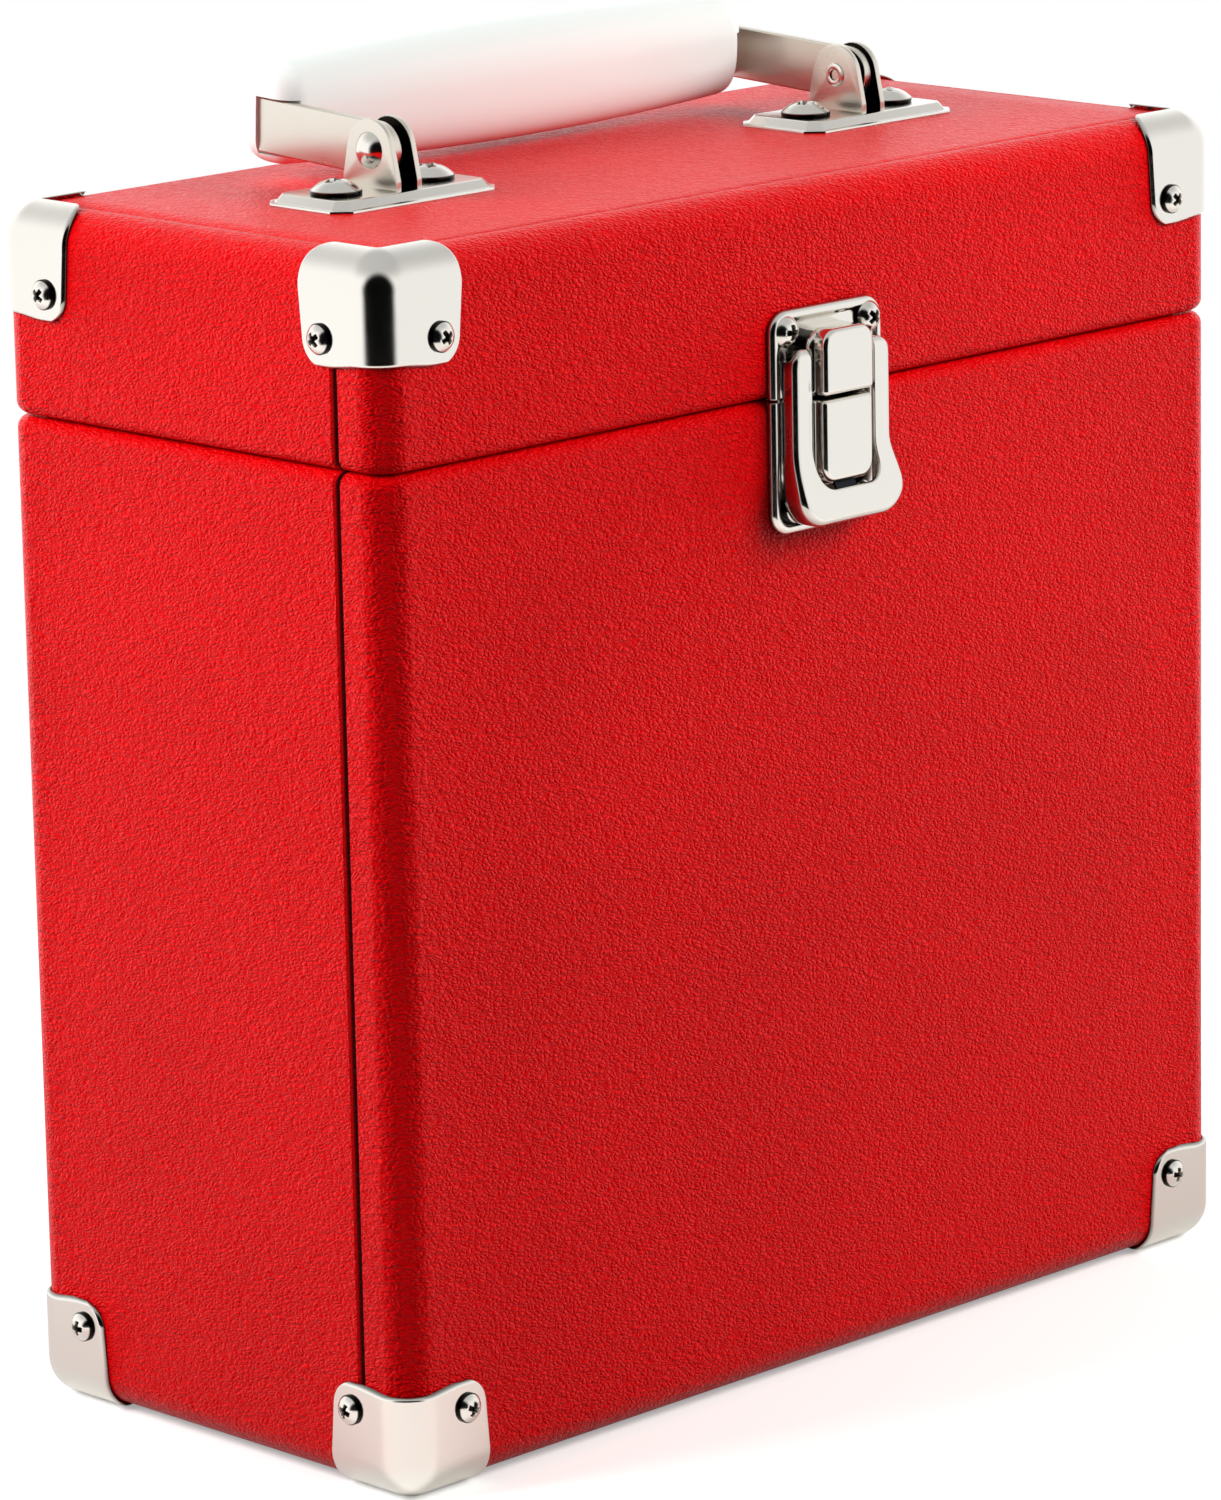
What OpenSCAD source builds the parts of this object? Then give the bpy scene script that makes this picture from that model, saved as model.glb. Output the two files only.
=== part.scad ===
// Carrying case for 7-inch records: boards covered in leatherette, with a rear-hinged lid,
// sprung-catch latch, folding handle and eight plated corner brackets.
// Millimetres. +Z is up, the latch side faces -Y, and the case stands on z = 0.

/* [Case] */
// Width of the case across its front
case_w = 210; // [204:1:230]
// Depth of the case from front to back
case_d = 95.5; // [90:0.5:130]
// Height of the case over the leatherette
case_h = 213; // [208:1:230]
// Height of the lid over the leatherette
lid_h = 36.5; // [34:0.5:48]
// Radius of the outer edges and corners
edge_r = 6; // [5:0.25:7]
// Thickness of the wall boards
board_t = 4; // [3:0.25:5]
// Thickness of the leatherette
cover_t = 0.8; // [0.6:0.1:1]
// Thickness of the inner lining
lining_t = 0.6; // [0.4:0.1:1]
// Gap between the rims of lid and body
seam_gap = 0.4; // [0.3:0.1:0.8]
// Rounding of the outer edges of the two rims
rim_r = 2.2; // [1.2:0.1:3]
// How far the front leatherette turns back on to the sides
front_wrap = 10.7; // [9:0.1:14]
// Width of the joint groove behind that turned edge
groove_w = 0.9; // [0.5:0.1:1.5]

/* [Inner lip] */
// Thickness of the lip inside the rim
lip_t = 1.6; // [1.2:0.1:2]
// Height of the lip above the seam
lip_rise = 7; // [5:0.5:9]
// Depth of the lip below the seam
lip_drop = 12; // [8:1:20]
// Space above the lip, under the edge of the lid lining
lip_room = 1.4; // [1:0.1:3]

/* [Corner brackets] */
// Thickness of the bracket sheet
bracket_t = 0.9; // [0.6:0.1:1.2]
// Width of a flap from the corner
flap_w = 17.4; // [16.5:0.1:20]
// How much wider a flap gets where it turns over the edge
flap_flare = 3.6; // [2:0.2:4]
// Width of the lip that is turned over the top edges
flap_lip = 5.7; // [5.4:0.1:6.4]
// Width of the lip under the case, on which it stands
foot_lip = 9; // [8:0.5:12]
// Radius of the lobe round each bracket screw
lobe_r = 4.2; // [3.8:0.1:4.8]
// Distance of a bracket screw from the top or bottom of the case
bracket_screw_drop = 14.3; // [13:0.1:16]
// How far the flap edge dips between lobe and corner
flap_dip = 0.7; // [0.4:0.1:1.6]

/* [Screws] */
// Diameter of the small screw heads
screw_head_d = 5.3; // [4.8:0.1:6]
// Height of the small screw heads
screw_head_h = 1.8; // [1.2:0.1:1.9]
// Diameter of the small screw shanks
screw_shank_d = 2.2; // [1.8:0.1:2.6]
// Diameter of the handle screw heads
big_head_d = 9; // [8:0.1:9.2]
// Height of the handle screw heads
big_head_h = 2.6; // [2:0.1:3]
// Diameter of the handle screw shanks
big_shank_d = 3; // [2.6:0.1:3.4]
// Board left uncut in front of every screw tip
tip_cover = 0.4; // [0.3:0.1:0.8]

/* [Latch] */
// Width of the latch plates
latch_w = 28; // [27.4:0.2:33]
// Height of the lid plate above the seam
latch_up = 15.5; // [15:0.1:18]
// Height of the body plate below the seam
latch_down = 23.9; // [23.5:0.1:28]
// Thickness of the latch sheet
latch_t = 0.8; // [0.6:0.1:0.9]
// Height of the raised rim of the plates
latch_rim_h = 1.5; // [1.2:0.1:1.7]
// Width of that rim
latch_rim_w = 0.9; // [0.8:0.1:1.3]
// Gap between the two plates
latch_split = 0.6; // [0.4:0.1:1.2]
// Half width of the hinge housing and the keeper
block_half_w = 6.2; // [5.4:0.1:6.4]
// Height of the hinge housing top above the seam
housing_top = 11.9; // [10.5:0.1:13]
// How far the hinge housing stands out
housing_out = 6.7; // [6.2:0.1:7.4]
// Depth of the keeper foot below the seam
keeper_foot = 14.3; // [13:0.1:14.8]
// How far the keeper stands out
keeper_out = 6.4; // [5.6:0.1:6.6]
// Height of the hasp pin above the seam
pin_up = 6.9; // [6.4:0.1:7.2]
// How far the hasp pin lies in front of the case
pin_out = 3; // [2.95:0.05:3.2]
// Radius of the hasp pin
pin_r = 0.9; // [0.7:0.05:1.1]
// Radius of the hasp knuckles
knuckle_r = 2.05; // [1.9:0.05:2.1]
// Half width over the hasp arms
hasp_half_w = 12.2; // [11.8:0.1:12.6]
// Half width of the window between the arms
window_half_w = 7.8; // [7:0.1:8.2]
// Depth of the window foot below the seam
window_foot = 16; // [15.4:0.1:16.6]
// Half width of the thumb bill
bill_half_w = 13; // [12.7:0.05:13.1]
// Depth of the bill foot below the seam
bill_foot = 22.2; // [21.6:0.1:22.5]
// How far the bill stands out
bill_out = 7.8; // [7.7:0.1:9]
// Thickness of the hasp sheet
hasp_t = 0.9; // [0.7:0.05:1]

/* [Handle] */
// Distance of each bracket centre from the middle of the case
bracket_x = 58.2; // [50:0.1:66]
// How far the handle line lies behind the middle
handle_aft = 0.3; // [0:0.1:3]
// Length of a handle plate
plate_l = 39; // [38:0.5:46]
// Width of a handle plate
plate_w = 20.8; // [20.4:0.2:26]
// Corner cut of a handle plate
plate_cut = 2.9; // [2:0.1:4]
// Height of the raised field of a handle plate
plate_h = 1.9; // [1.6:0.1:2.4]
// Thickness of the plate sheet
plate_t = 0.7; // [0.5:0.1:0.8]
// Distance between the two screws of a plate
plate_screw_span = 21.8; // [20:0.1:22.4]
// Height of the handle pivot above the lid
pivot_h = 8.3; // [8:0.1:10]
// Radius of the ear tops
ear_r = 5.5; // [5:0.1:6]
// Half width of the ears at their foot
ear_foot = 6.7; // [6.2:0.1:6.9]
// Thickness of an ear
ear_t = 1.15; // [1:0.05:1.4]
// Half width over a pair of ears
ears_half_w = 3; // [2.8:0.1:3.6]
// Radius of the handle rivet
rivet_r = 1.6; // [1.4:0.05:1.8]
// Width of the handle strap
strap_w = 9.6; // [8.6:0.1:10]
// Thickness of the handle strap
strap_t = 1.8; // [1.5:0.1:2.1]
// Outer radius of the strap bends
strap_bend = 3.2; // [2.8:0.1:4]
// Distance of the strap crossbar from the pivot
strap_reach = 30.6; // [30:0.1:38]
// Space left between the grip and the right arm of the strap
grip_play = 3.6; // [1:0.1:6]
// Depth of the notch in each grip end
notch_depth = 3; // [2.4:0.1:4]
// Thickness of the grip across the strap plane, at mid-length
grip_h = 22; // [20:0.2:23]
// Width of the grip along the strap plane, at mid-length
grip_w = 18.8; // [16:0.2:20]
// How much slimmer the grip gets from the middle to each end
grip_taper = 3.4; // [1:0.1:5]
// How far the grip's middle lies on the pivot side of the crossbar
grip_lead = 2; // [0:0.1:3]
// How far the grip stands off the strap plane
grip_off = 2.2; // [1:0.1:2.5]
// Radius of the grip's rounded ends
grip_end_r = 3; // [2:0.5:4]
// Angle of the folded handle above the lid
handle_rest = 3.3; // [3:0.1:8]

/* [Rear hinges] */
// Distance from the end of the case to the middle of each rear hinge
hinge_inset = 45; // [30:1:60]
// Width of a rear hinge
hinge_w = 28; // [24:1:36]
// Height of a rear hinge leaf
leaf_h = 16; // [14:0.5:20]
// Thickness of a hinge leaf
leaf_t = 0.9; // [0.7:0.05:1.1]
// Outer radius of the hinge barrel
barrel_r = 2.2; // [1.9:0.05:2.4]
// Radius of the hinge pin
hinge_pin_r = 1.1; // [0.8:0.05:1.2]
// Gap between barrel and case
barrel_gap = 0.15; // [0.1:0.05:0.3]
// Height of the hinge screw heads
hinge_head_h = 1; // [0.7:0.1:1.2]

/* [Fits] */
// Radial clearance of a part that turns on a pin
run_fit = 0.05; // [0.03:0.01:0.08]
// Clearance of a piece that is seated in a slot or hole
seat_fit = 0.05; // [0.02:0.01:0.1]
// Clearance between faces that slide past each other
side_gap = 0.25; // [0.15:0.05:0.4]

/* [Hidden] */
$fn = 48;
eps = 0.01;

stand = bracket_t;                     // the case bottom stands this high on the brackets
top_z = stand + case_h;
seam_z = top_z - lid_h;
rim_low = seam_z - seam_gap / 2;
rim_high = seam_z + seam_gap / 2;
wall = cover_t + board_t;
front_y = -case_d / 2;
back_y = case_d / 2;
barrel_out = barrel_gap + barrel_r;    // hinge axis behind the back face
mid_y = (bill_out - barrel_out - barrel_r) / 2;  // centres the whole object on the Z axis

bracket_screw_in = flap_w - lobe_r;
latch_head_gap = 0.15;                 // from the head of a lid screw to the rim of the plate
body_head_gap = 0.9;                   // the same at the foot of the body plate
latch_screw_x = latch_w / 2 - latch_rim_w - screw_head_d / 2 - latch_head_gap;
latch_screw_up = latch_up - latch_rim_w - screw_head_d / 2 - latch_head_gap;
body_screw_x = bill_half_w - hasp_t - screw_head_d / 2 - 1;
body_screw_down = latch_down - latch_rim_w - screw_head_d / 2 - body_head_gap;
arm_out = pin_out + knuckle_r;
bow_top = 8.5;                         // the arms bow outward from here, below the seam,
bow_foot = 19;                         // down to here, where the bill begins
flange_back = latch_t + 1.1;           // rear edge of the hasp flanges at the arms
bill_back = latch_t + screw_head_h + 0.4;
handle_y = handle_aft;
strap_x = bracket_x + ears_half_w - ear_t - side_gap;  // outer face of each strap arm
pivot_z = top_z + pivot_h;
barrel_part = hinge_w / 3;
hinge_x = case_w / 2 - hinge_inset;

RED = "firebrick";
DARK_RED = "darkred";
BOARD = "tan";
NICKEL = "silver";
STEEL = "gainsboro";
WHITE = "ivory";
LINING = "dimgray";

// ---------------------------------------------------------------- frames and shared shapes

// The case is drawn about its own middle and moved so that the whole object is centred.
module placed(shade) {
    color(shade) translate([0, mid_y, 0]) children();
}

// Frames on the case faces: the child's Z points out of the face, its Y points up.
module on_front(x, z, out = 0) {
    translate([x, front_y - out, z]) rotate([90, 0, 0]) children();
}
module on_back(x, z, out = 0) {
    translate([x, back_y + out, z]) rotate([90, 0, 180]) children();
}
module on_side(s, y, z, out = 0) {
    translate([s * (case_w / 2 + out), y, z]) rotate([90, 0, s * 90]) children();
}

module both_ends(span) {
    for (s = [-1, 1]) translate([s * span, 0, 0]) children();
}

// Child outline, drawn in (Y, Z), extruded along X from x0 to x1.
module along_x(x0, x1) {
    translate([x0, 0, 0]) rotate([90, 0, 90]) linear_extrude(x1 - x0) children();
}

module rounded_rect(w, d, r) {
    square([w - 2 * r, d], center = true);
    square([w, d - 2 * r], center = true);
    for (sx = [-1, 1], sy = [-1, 1])
        translate([sx * (w / 2 - r), sy * (d / 2 - r)]) circle(r);
}

// Upright section of a box of height h: lower corners of radius r, upper ones of radius q.
module box_section(w, h, r, q) {
    translate([-w / 2, r]) square([w, h - r - q]);
    translate([r - w / 2, 0]) square([w - 2 * r, h]);
    translate([q - w / 2, r]) square([w - 2 * q, h - r]);
    for (s = [-1, 1]) {
        translate([s * (w / 2 - r), r]) circle(r);
        translate([s * (w / 2 - q), h - q]) circle(q);
    }
}

// Half section of a corner column of height h: lower edge of radius r, upper edge of radius q.
module corner_section(h, r, q) {
    translate([0, r]) square([r, h - r - q]);
    translate([0, r]) square([r - q, h - r]);
    intersection() {
        translate([0, r]) circle(r);
        square(r);
    }
    intersection() {
        translate([r - q, h - q]) circle(q);
        translate([r - q, h - q]) square(q);
    }
}

// Block on z = 0 with upright and lower edges of radius r and upper edges of radius q.
module tub_block(w, d, h, r, q) {
    rotate([90, 0, 0]) linear_extrude(d - 2 * r, center = true) box_section(w, h, r, q);
    rotate([90, 0, 90]) linear_extrude(w - 2 * r, center = true) box_section(d, h, r, q);
    for (s = [-1, 1], t = [-1, 1])
        translate([s * (w / 2 - r), t * (d / 2 - r), 0]) rotate_extrude() corner_section(h, r, q);
}

// Outer form of the body or lid, shrunk by inset, with its rim lowered by rim_cut.
module body_block(inset, rim_cut) {
    translate([0, 0, stand + inset])
        tub_block(case_w - 2 * inset, case_d - 2 * inset,
            rim_low - rim_cut - stand - inset, edge_r - inset, rim_r - inset);
}
module lid_block(inset, rim_cut) {
    translate([0, 0, top_z - inset]) mirror([0, 0, 1])
        tub_block(case_w - 2 * inset, case_d - 2 * inset,
            top_z - inset - rim_high - rim_cut, edge_r - inset, rim_r - inset);
}

// Upright box between the walls, inset from the outer faces, from z0 to z1.
module inner_box(inset, z0, z1) {
    translate([inset - case_w / 2, inset - case_d / 2, z0])
        cube([case_w - 2 * inset, case_d - 2 * inset, z1 - z0]);
}

// Domed cross-slot screw: the underside of the head is at z = 0 and the shank points down.
module screw(head_d, head_h, shank_d, shank_l) {
    rim_h = 0.25 * head_h;
    dome_h = head_h - rim_h;
    dome_r = (pow(head_d / 2, 2) + pow(dome_h, 2)) / (2 * dome_h);
    slot_w = 0.13 * head_d;
    slot_l = 0.52 * head_d;
    slot_h = 0.55 * head_h;
    difference() {
        union() {
            cylinder(d = head_d, h = rim_h);
            intersection() {
                translate([0, 0, head_h - dome_r]) sphere(dome_r);
                translate([0, 0, rim_h]) cylinder(d = head_d, h = head_h);
            }
            translate([0, 0, -shank_l]) cylinder(d = shank_d, h = shank_l);
        }
        for (a = [0, 90]) rotate(a)
            translate([-slot_l / 2, -slot_w / 2, head_h - slot_h]) cube([slot_l, slot_w, head_h]);
    }
}

module small_screw(grip_depth, head_h = screw_head_h) {
    screw(screw_head_d, head_h, screw_shank_d, grip_depth + wall - tip_cover);
}

// Hole for a screw of that shank, from above the face down to the tip of the screw.
module screw_hole(shank_d, above) {
    translate([0, 0, tip_cover - wall]) cylinder(d = shank_d + 2 * seat_fit, h = wall + above);
}

// ---------------------------------------------------------------- where the screws go

module each_bracket_screw(z) {
    for (s = [-1, 1]) {
        x = s * (case_w / 2 - bracket_screw_in);
        y = s * (case_d / 2 - bracket_screw_in);
        on_front(x, z) children();
        on_back(x, z) children();
        on_side(-1, y, z) children();
        on_side(1, y, z) children();
    }
}

module each_latch_lid_screw() {
    for (s = [-1, 1]) on_front(s * latch_screw_x, seam_z + latch_screw_up) children();
}

module each_latch_body_screw() {
    for (s = [-1, 1]) on_front(s * body_screw_x, seam_z - body_screw_down) children();
}

module each_handle_screw() {
    for (s = [-1, 1], t = [-1, 1])
        translate([s * bracket_x + t * plate_screw_span / 2, handle_y, top_z]) children();
}

// Two screws in each leaf of the two rear hinges; up is 1 for the lid and -1 for the body.
module each_hinge_screw(up) {
    for (s = [-1, 1], t = [-1, 1])
        on_back(s * hinge_x + t * (hinge_w / 2 - screw_head_d / 2 - 2),
            seam_z + up * (leaf_h - screw_head_d / 2 - 2)) children();
}

module body_screw_holes() {
    each_bracket_screw(stand + bracket_screw_drop) screw_hole(screw_shank_d, 1);
    each_latch_body_screw() screw_hole(screw_shank_d, 1);
    each_hinge_screw(-1) screw_hole(screw_shank_d, 1);
}

module lid_screw_holes() {
    each_bracket_screw(top_z - bracket_screw_drop) screw_hole(screw_shank_d, 1);
    each_latch_lid_screw() screw_hole(screw_shank_d, 1);
    each_hinge_screw(1) screw_hole(screw_shank_d, 1);
    each_handle_screw() screw_hole(big_shank_d, 1);
}

// ---------------------------------------------------------------- boards

// Front and back boards run the full width; s is -1 for the front, 1 for the back.
module wide_strip(s) {
    translate([-case_w / 2, s * (case_d / 2 - cover_t - board_t / 2) - board_t / 2, 0])
        cube([case_w, board_t, top_z]);
}

// Side board on z = 0, as long as the straight part of the side; s is -1 for the left one.
module side_board(s, h) {
    w = case_w - 2 * cover_t;
    rotate([90, 0, 0]) linear_extrude(case_d - 2 * edge_r, center = true) intersection() {
        box_section(w, h, edge_r - cover_t, rim_r - cover_t);
        translate([s * (w - board_t) / 2 - board_t / 2, 0]) square([board_t, h]);
    }
}

module body_board() {
    placed(BOARD) difference() {
        intersection() {
            body_block(cover_t, cover_t);
            children();
        }
        body_screw_holes();
    }
}
module body_front_board() { body_board() wide_strip(-1); }
module body_back_board() { body_board() wide_strip(1); }
module body_side_board(s) {
    placed(BOARD) difference() {
        translate([0, 0, stand + cover_t]) side_board(s, rim_low - stand - 2 * cover_t);
        body_screw_holes();
    }
}
module body_floor_board() { body_board() inner_box(wall, stand, stand + wall); }

module lid_board() {
    placed(BOARD) difference() {
        intersection() {
            lid_block(cover_t, cover_t);
            children();
        }
        lid_screw_holes();
    }
}
module lid_front_board() { lid_board() wide_strip(-1); }
module lid_back_board() { lid_board() wide_strip(1); }
module lid_side_board(s) {
    placed(BOARD) difference() {
        translate([0, 0, top_z - cover_t]) mirror([0, 0, 1])
            side_board(s, top_z - rim_high - 2 * cover_t);
        lid_screw_holes();
    }
}
module lid_top_board() { lid_board() inner_box(wall, top_z - wall, top_z); }

// ---------------------------------------------------------------- leatherette and lining

// Zone of the front leatherette: the front face and what is turned back on to the sides.
module front_zone() {
    translate([-case_w, front_y - 1, stand + edge_r])
        cube([2 * case_w, front_wrap + 1, case_h - 2 * edge_r]);
    translate([-case_w, front_y - 1, -1]) cube([2 * case_w, edge_r + 1, top_z + 2]);
}

// Joint grooves behind the turned edges, on both side faces.
module joint_grooves() {
    for (s = [-1, 1])
        translate([s * case_w / 2 - cover_t, front_y + front_wrap, stand + edge_r])
            cube([2 * cover_t, groove_w, case_h - 2 * edge_r]);
}

module body_skin() {
    difference() {
        body_block(0, 0);
        body_block(cover_t, cover_t);
        inner_box(wall, stand + cover_t, top_z);
        body_screw_holes();
    }
}
module body_cover() {
    placed(RED) difference() {
        body_skin();
        front_zone();
        joint_grooves();
    }
}
module body_front_cover() {
    placed(RED) intersection() {
        body_skin();
        front_zone();
    }
}

module lid_skin() {
    difference() {
        lid_block(0, 0);
        lid_block(cover_t, cover_t);
        inner_box(wall, 0, top_z - cover_t);
        lid_screw_holes();
    }
}
module lid_cover() {
    placed(RED) difference() {
        lid_skin();
        front_zone();
        joint_grooves();
    }
}
module lid_front_cover() {
    placed(RED) intersection() {
        lid_skin();
        front_zone();
    }
}

module body_lining() {
    placed(LINING) difference() {
        inner_box(wall, stand + wall, rim_low);
        inner_box(wall + lining_t, stand + wall + lining_t, top_z);
    }
}
module lid_lining() {
    placed(LINING) difference() {
        inner_box(wall, rim_low + lip_rise + lip_room, top_z - wall);
        inner_box(wall + lining_t, 0, top_z - wall - lining_t);
    }
}

// Lip that stands up inside the rim and guides the closing lid.
module inner_lip() {
    placed(LINING) difference() {
        inner_box(wall + lining_t, rim_low - lip_drop, rim_low + lip_rise);
        inner_box(wall + lining_t + lip_t, 0, top_z);
    }
}

// ---------------------------------------------------------------- corner brackets

// Corner of a large block, with its three edges rounded; the corner lies at -grow.
module corner_block(size, r, grow) {
    translate([-grow, -grow, -grow]) {
        translate([r, r, 0]) cube(size);
        translate([r, 0, r]) cube(size);
        translate([0, r, r]) cube(size);
        translate([r, r, r]) {
            sphere(r);
            cylinder(r = r, h = size);
            rotate([0, 90, 0]) cylinder(r = r, h = size);
            rotate([-90, 0, 0]) cylinder(r = r, h = size);
        }
    }
}

// Outline of one flap: it flares towards the edge, and ends in a lobe round the screw.
module flap_outline() {
    steps = 6;
    tip = bracket_screw_drop + lobe_r;
    flare = [for (i = [0 : steps])
        [flap_w + flap_flare * pow(1 - i / steps, 2), edge_r * i / steps]];
    polygon(concat(
        [[-2, -2], [flap_w + flap_flare, -2]],
        flare,
        [[flap_w, bracket_screw_drop],
         [bracket_screw_in, tip],
         [bracket_screw_in - lobe_r * 0.5, tip - flap_dip * 0.8],
         [bracket_screw_in - lobe_r, tip - flap_dip],
         [edge_r * 0.9, tip - flap_dip * 0.9],
         [edge_r / 2, tip - flap_dip * 0.6],
         [0, tip - flap_dip / 2],
         [-2, tip - flap_dip / 2]]));
    translate([bracket_screw_in, bracket_screw_drop]) circle(lobe_r);
}

// Outline of the lip seen along Z: an L with a tapering tip on each leg.
module lip_outline(lip) {
    reach = flap_w + flap_flare;
    leg = [[reach, -2], [reach, lip * 0.42], [reach - 0.7, lip * 0.62],
           [reach - 2.4, lip * 0.8], [reach - 5.5, lip * 0.94], [reach - 8, lip]];
    polygon(concat([[-2, -2]], leg, [[lip, lip]],
        [for (i = [len(leg) - 1 : -1 : 0]) [leg[i][1], leg[i][0]]]));
}

// Bracket for the lower left front corner, with that corner of the case at the origin.
module corner_bracket(lip) {
    size = flap_w + flap_flare + 4;
    intersection() {
        difference() {
            corner_block(size, edge_r + bracket_t, bracket_t);
            corner_block(size + 2, edge_r, 0);
        }
        translate([0, 0, -2]) linear_extrude(size) lip_outline(lip);
        union() {
            translate([0, lip, 0]) rotate([90, 0, 0]) linear_extrude(lip + 2) flap_outline();
            along_x(-2, lip) flap_outline();
        }
    }
}

module drilled_bracket(z) {
    difference() {
        children();
        each_bracket_screw(z) screw_hole(screw_shank_d, bracket_t + 1);
    }
}

module body_bracket(sx, sy) {
    placed(NICKEL) drilled_bracket(stand + bracket_screw_drop)
        translate([sx * case_w / 2, sy * case_d / 2, stand])
            mirror([sx > 0 ? 1 : 0, 0, 0]) mirror([0, sy > 0 ? 1 : 0, 0]) corner_bracket(foot_lip);
}
module lid_bracket(sx, sy) {
    placed(NICKEL) drilled_bracket(top_z - bracket_screw_drop)
        translate([sx * case_w / 2, sy * case_d / 2, top_z]) mirror([0, 0, 1])
            mirror([sx > 0 ? 1 : 0, 0, 0]) mirror([0, sy > 0 ? 1 : 0, 0]) corner_bracket(flap_lip);
}

module body_bracket_screws() {
    placed(STEEL) each_bracket_screw(stand + bracket_screw_drop)
        translate([0, 0, bracket_t]) small_screw(bracket_t);
}
module lid_bracket_screws() {
    placed(STEEL) each_bracket_screw(top_z - bracket_screw_drop)
        translate([0, 0, bracket_t]) small_screw(bracket_t);
}

// ---------------------------------------------------------------- latch

// Latch frame: X across, Y up from the seam, Z out of the front face.
module latch_frame(shade) {
    placed(shade) on_front(0, seam_z) children();
}

module latch_outline(inset) {
    corner = 4;
    translate([0, (latch_up - latch_down) / 2])
        rounded_rect(latch_w - 2 * inset, latch_up + latch_down - 2 * inset, corner - inset);
}

// Both plates in one: a flat field with a raised rim along the outer edge.
module latch_pan() {
    difference() {
        linear_extrude(latch_rim_h) latch_outline(0);
        translate([0, 0, latch_t]) linear_extrude(latch_rim_h) latch_outline(latch_rim_w);
    }
}

module latch_lid_plate() {
    latch_frame(NICKEL) difference() {
        intersection() {
            latch_pan();
            translate([-latch_w, latch_split / 2, 0]) cube([2 * latch_w, latch_up, 5]);
        }
        both_ends(latch_screw_x) translate([0, latch_screw_up, 0])
            screw_hole(screw_shank_d, 2);
    }
}

module latch_body_plate() {
    latch_frame(NICKEL) difference() {
        intersection() {
            latch_pan();
            translate([-latch_w, -latch_down, 0]) cube([2 * latch_w, latch_down - latch_split / 2, 5]);
        }
        both_ends(body_screw_x) translate([0, -body_screw_down, 0])
            screw_hole(screw_shank_d, 2);
    }
}

// Pressed block between y0 and y1 that stands on the plate, with bevelled front edges;
// r0 and r1 are the corner radii at its lower and upper end.
module pressed_block(y0, y1, out, r0, r1) {
    bevel = 0.5;
    hull() for (s = [-1, 1], end = [[y0 + r0, r0], [y1 - r1, r1]])
        translate([s * (block_half_w - end[1]), end[0], latch_t]) {
            cylinder(r = end[1], h = out - latch_t - bevel, $fn = 32);
            cylinder(r = end[1] - bevel, h = out - latch_t, $fn = 32);
        }
}

module latch_hinge_housing() {
    foot = latch_split / 2 + 0.05;
    skirt = 0.8;
    latch_frame(NICKEL) difference() {
        union() {
            pressed_block(foot, housing_top, housing_out, 0.9, 2.8);
            translate([-block_half_w - skirt, foot, latch_t])
                cube([2 * (block_half_w + skirt), pin_up - knuckle_r - foot, pin_out - latch_t]);
        }
        translate([0, pin_up, pin_out]) rotate([0, 90, 0])
            cylinder(r = pin_r + seat_fit, h = 4 * block_half_w, center = true);
    }
}

module latch_hasp_pin() {
    length = 2 * hasp_half_w - 0.4;
    latch_frame(STEEL) translate([0, pin_up, pin_out]) rotate([0, 90, 0])
        cylinder(r = pin_r, h = length, center = true);
}

module latch_keeper() {
    top = -latch_split / 2 - 0.05;
    sheet = 0.8;
    mouth = 3.4;
    latch_frame(NICKEL) difference() {
        pressed_block(-keeper_foot, top, keeper_out, 2.8, 0.9);
        translate([sheet - block_half_w, sheet - keeper_foot, latch_t - 1])
            cube([2 * (block_half_w - sheet), top + keeper_foot - 2 * sheet, keeper_out - latch_t - sheet + 1]);
        translate([-mouth, -keeper_foot - 1, latch_t + 1])
            cube([2 * mouth, 3, keeper_out - latch_t - sheet - 1]);
    }
}

// Outer side line of the hasp, from the knuckle down to the bill, as (height, out) pairs.
function hasp_line(back) = [for (i = [0 : 8])
    let (t = i / 8, s = t * t * (3 - 2 * t))
    [-bow_top - (bow_foot - bow_top) * t, arm_out - back + (bill_out - arm_out) * s]];

module hasp_side() {
    polygon(concat(
        [[pin_up, arm_out]],
        hasp_line(0),
        [[-bill_foot + 0.8, bill_out], [-bill_foot, bill_out - 0.8],
         [-bill_foot, bill_back], [-16, bill_back], [-12, flange_back],
         [pin_up - knuckle_r, flange_back], [pin_up, pin_out - knuckle_r]]));
}

module hasp_pocket_side() {
    polygon(concat(
        [[pin_up - knuckle_r, arm_out - hasp_t]],
        hasp_line(hasp_t),
        [[-bill_foot - 1, bill_out - hasp_t], [-bill_foot - 1, 0], [pin_up - knuckle_r, 0]]));
}

module hasp_outline(inset) {
    bill_h = 12;
    translate([-hasp_half_w + inset, -bill_foot + bill_h / 2])
        square([2 * (hasp_half_w - inset), pin_up + knuckle_r + bill_foot]);
    translate([0, -bill_foot + bill_h / 2])
        rounded_rect(2 * (bill_half_w - inset), bill_h - 2 * inset, 5.5 - inset);
}

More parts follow.
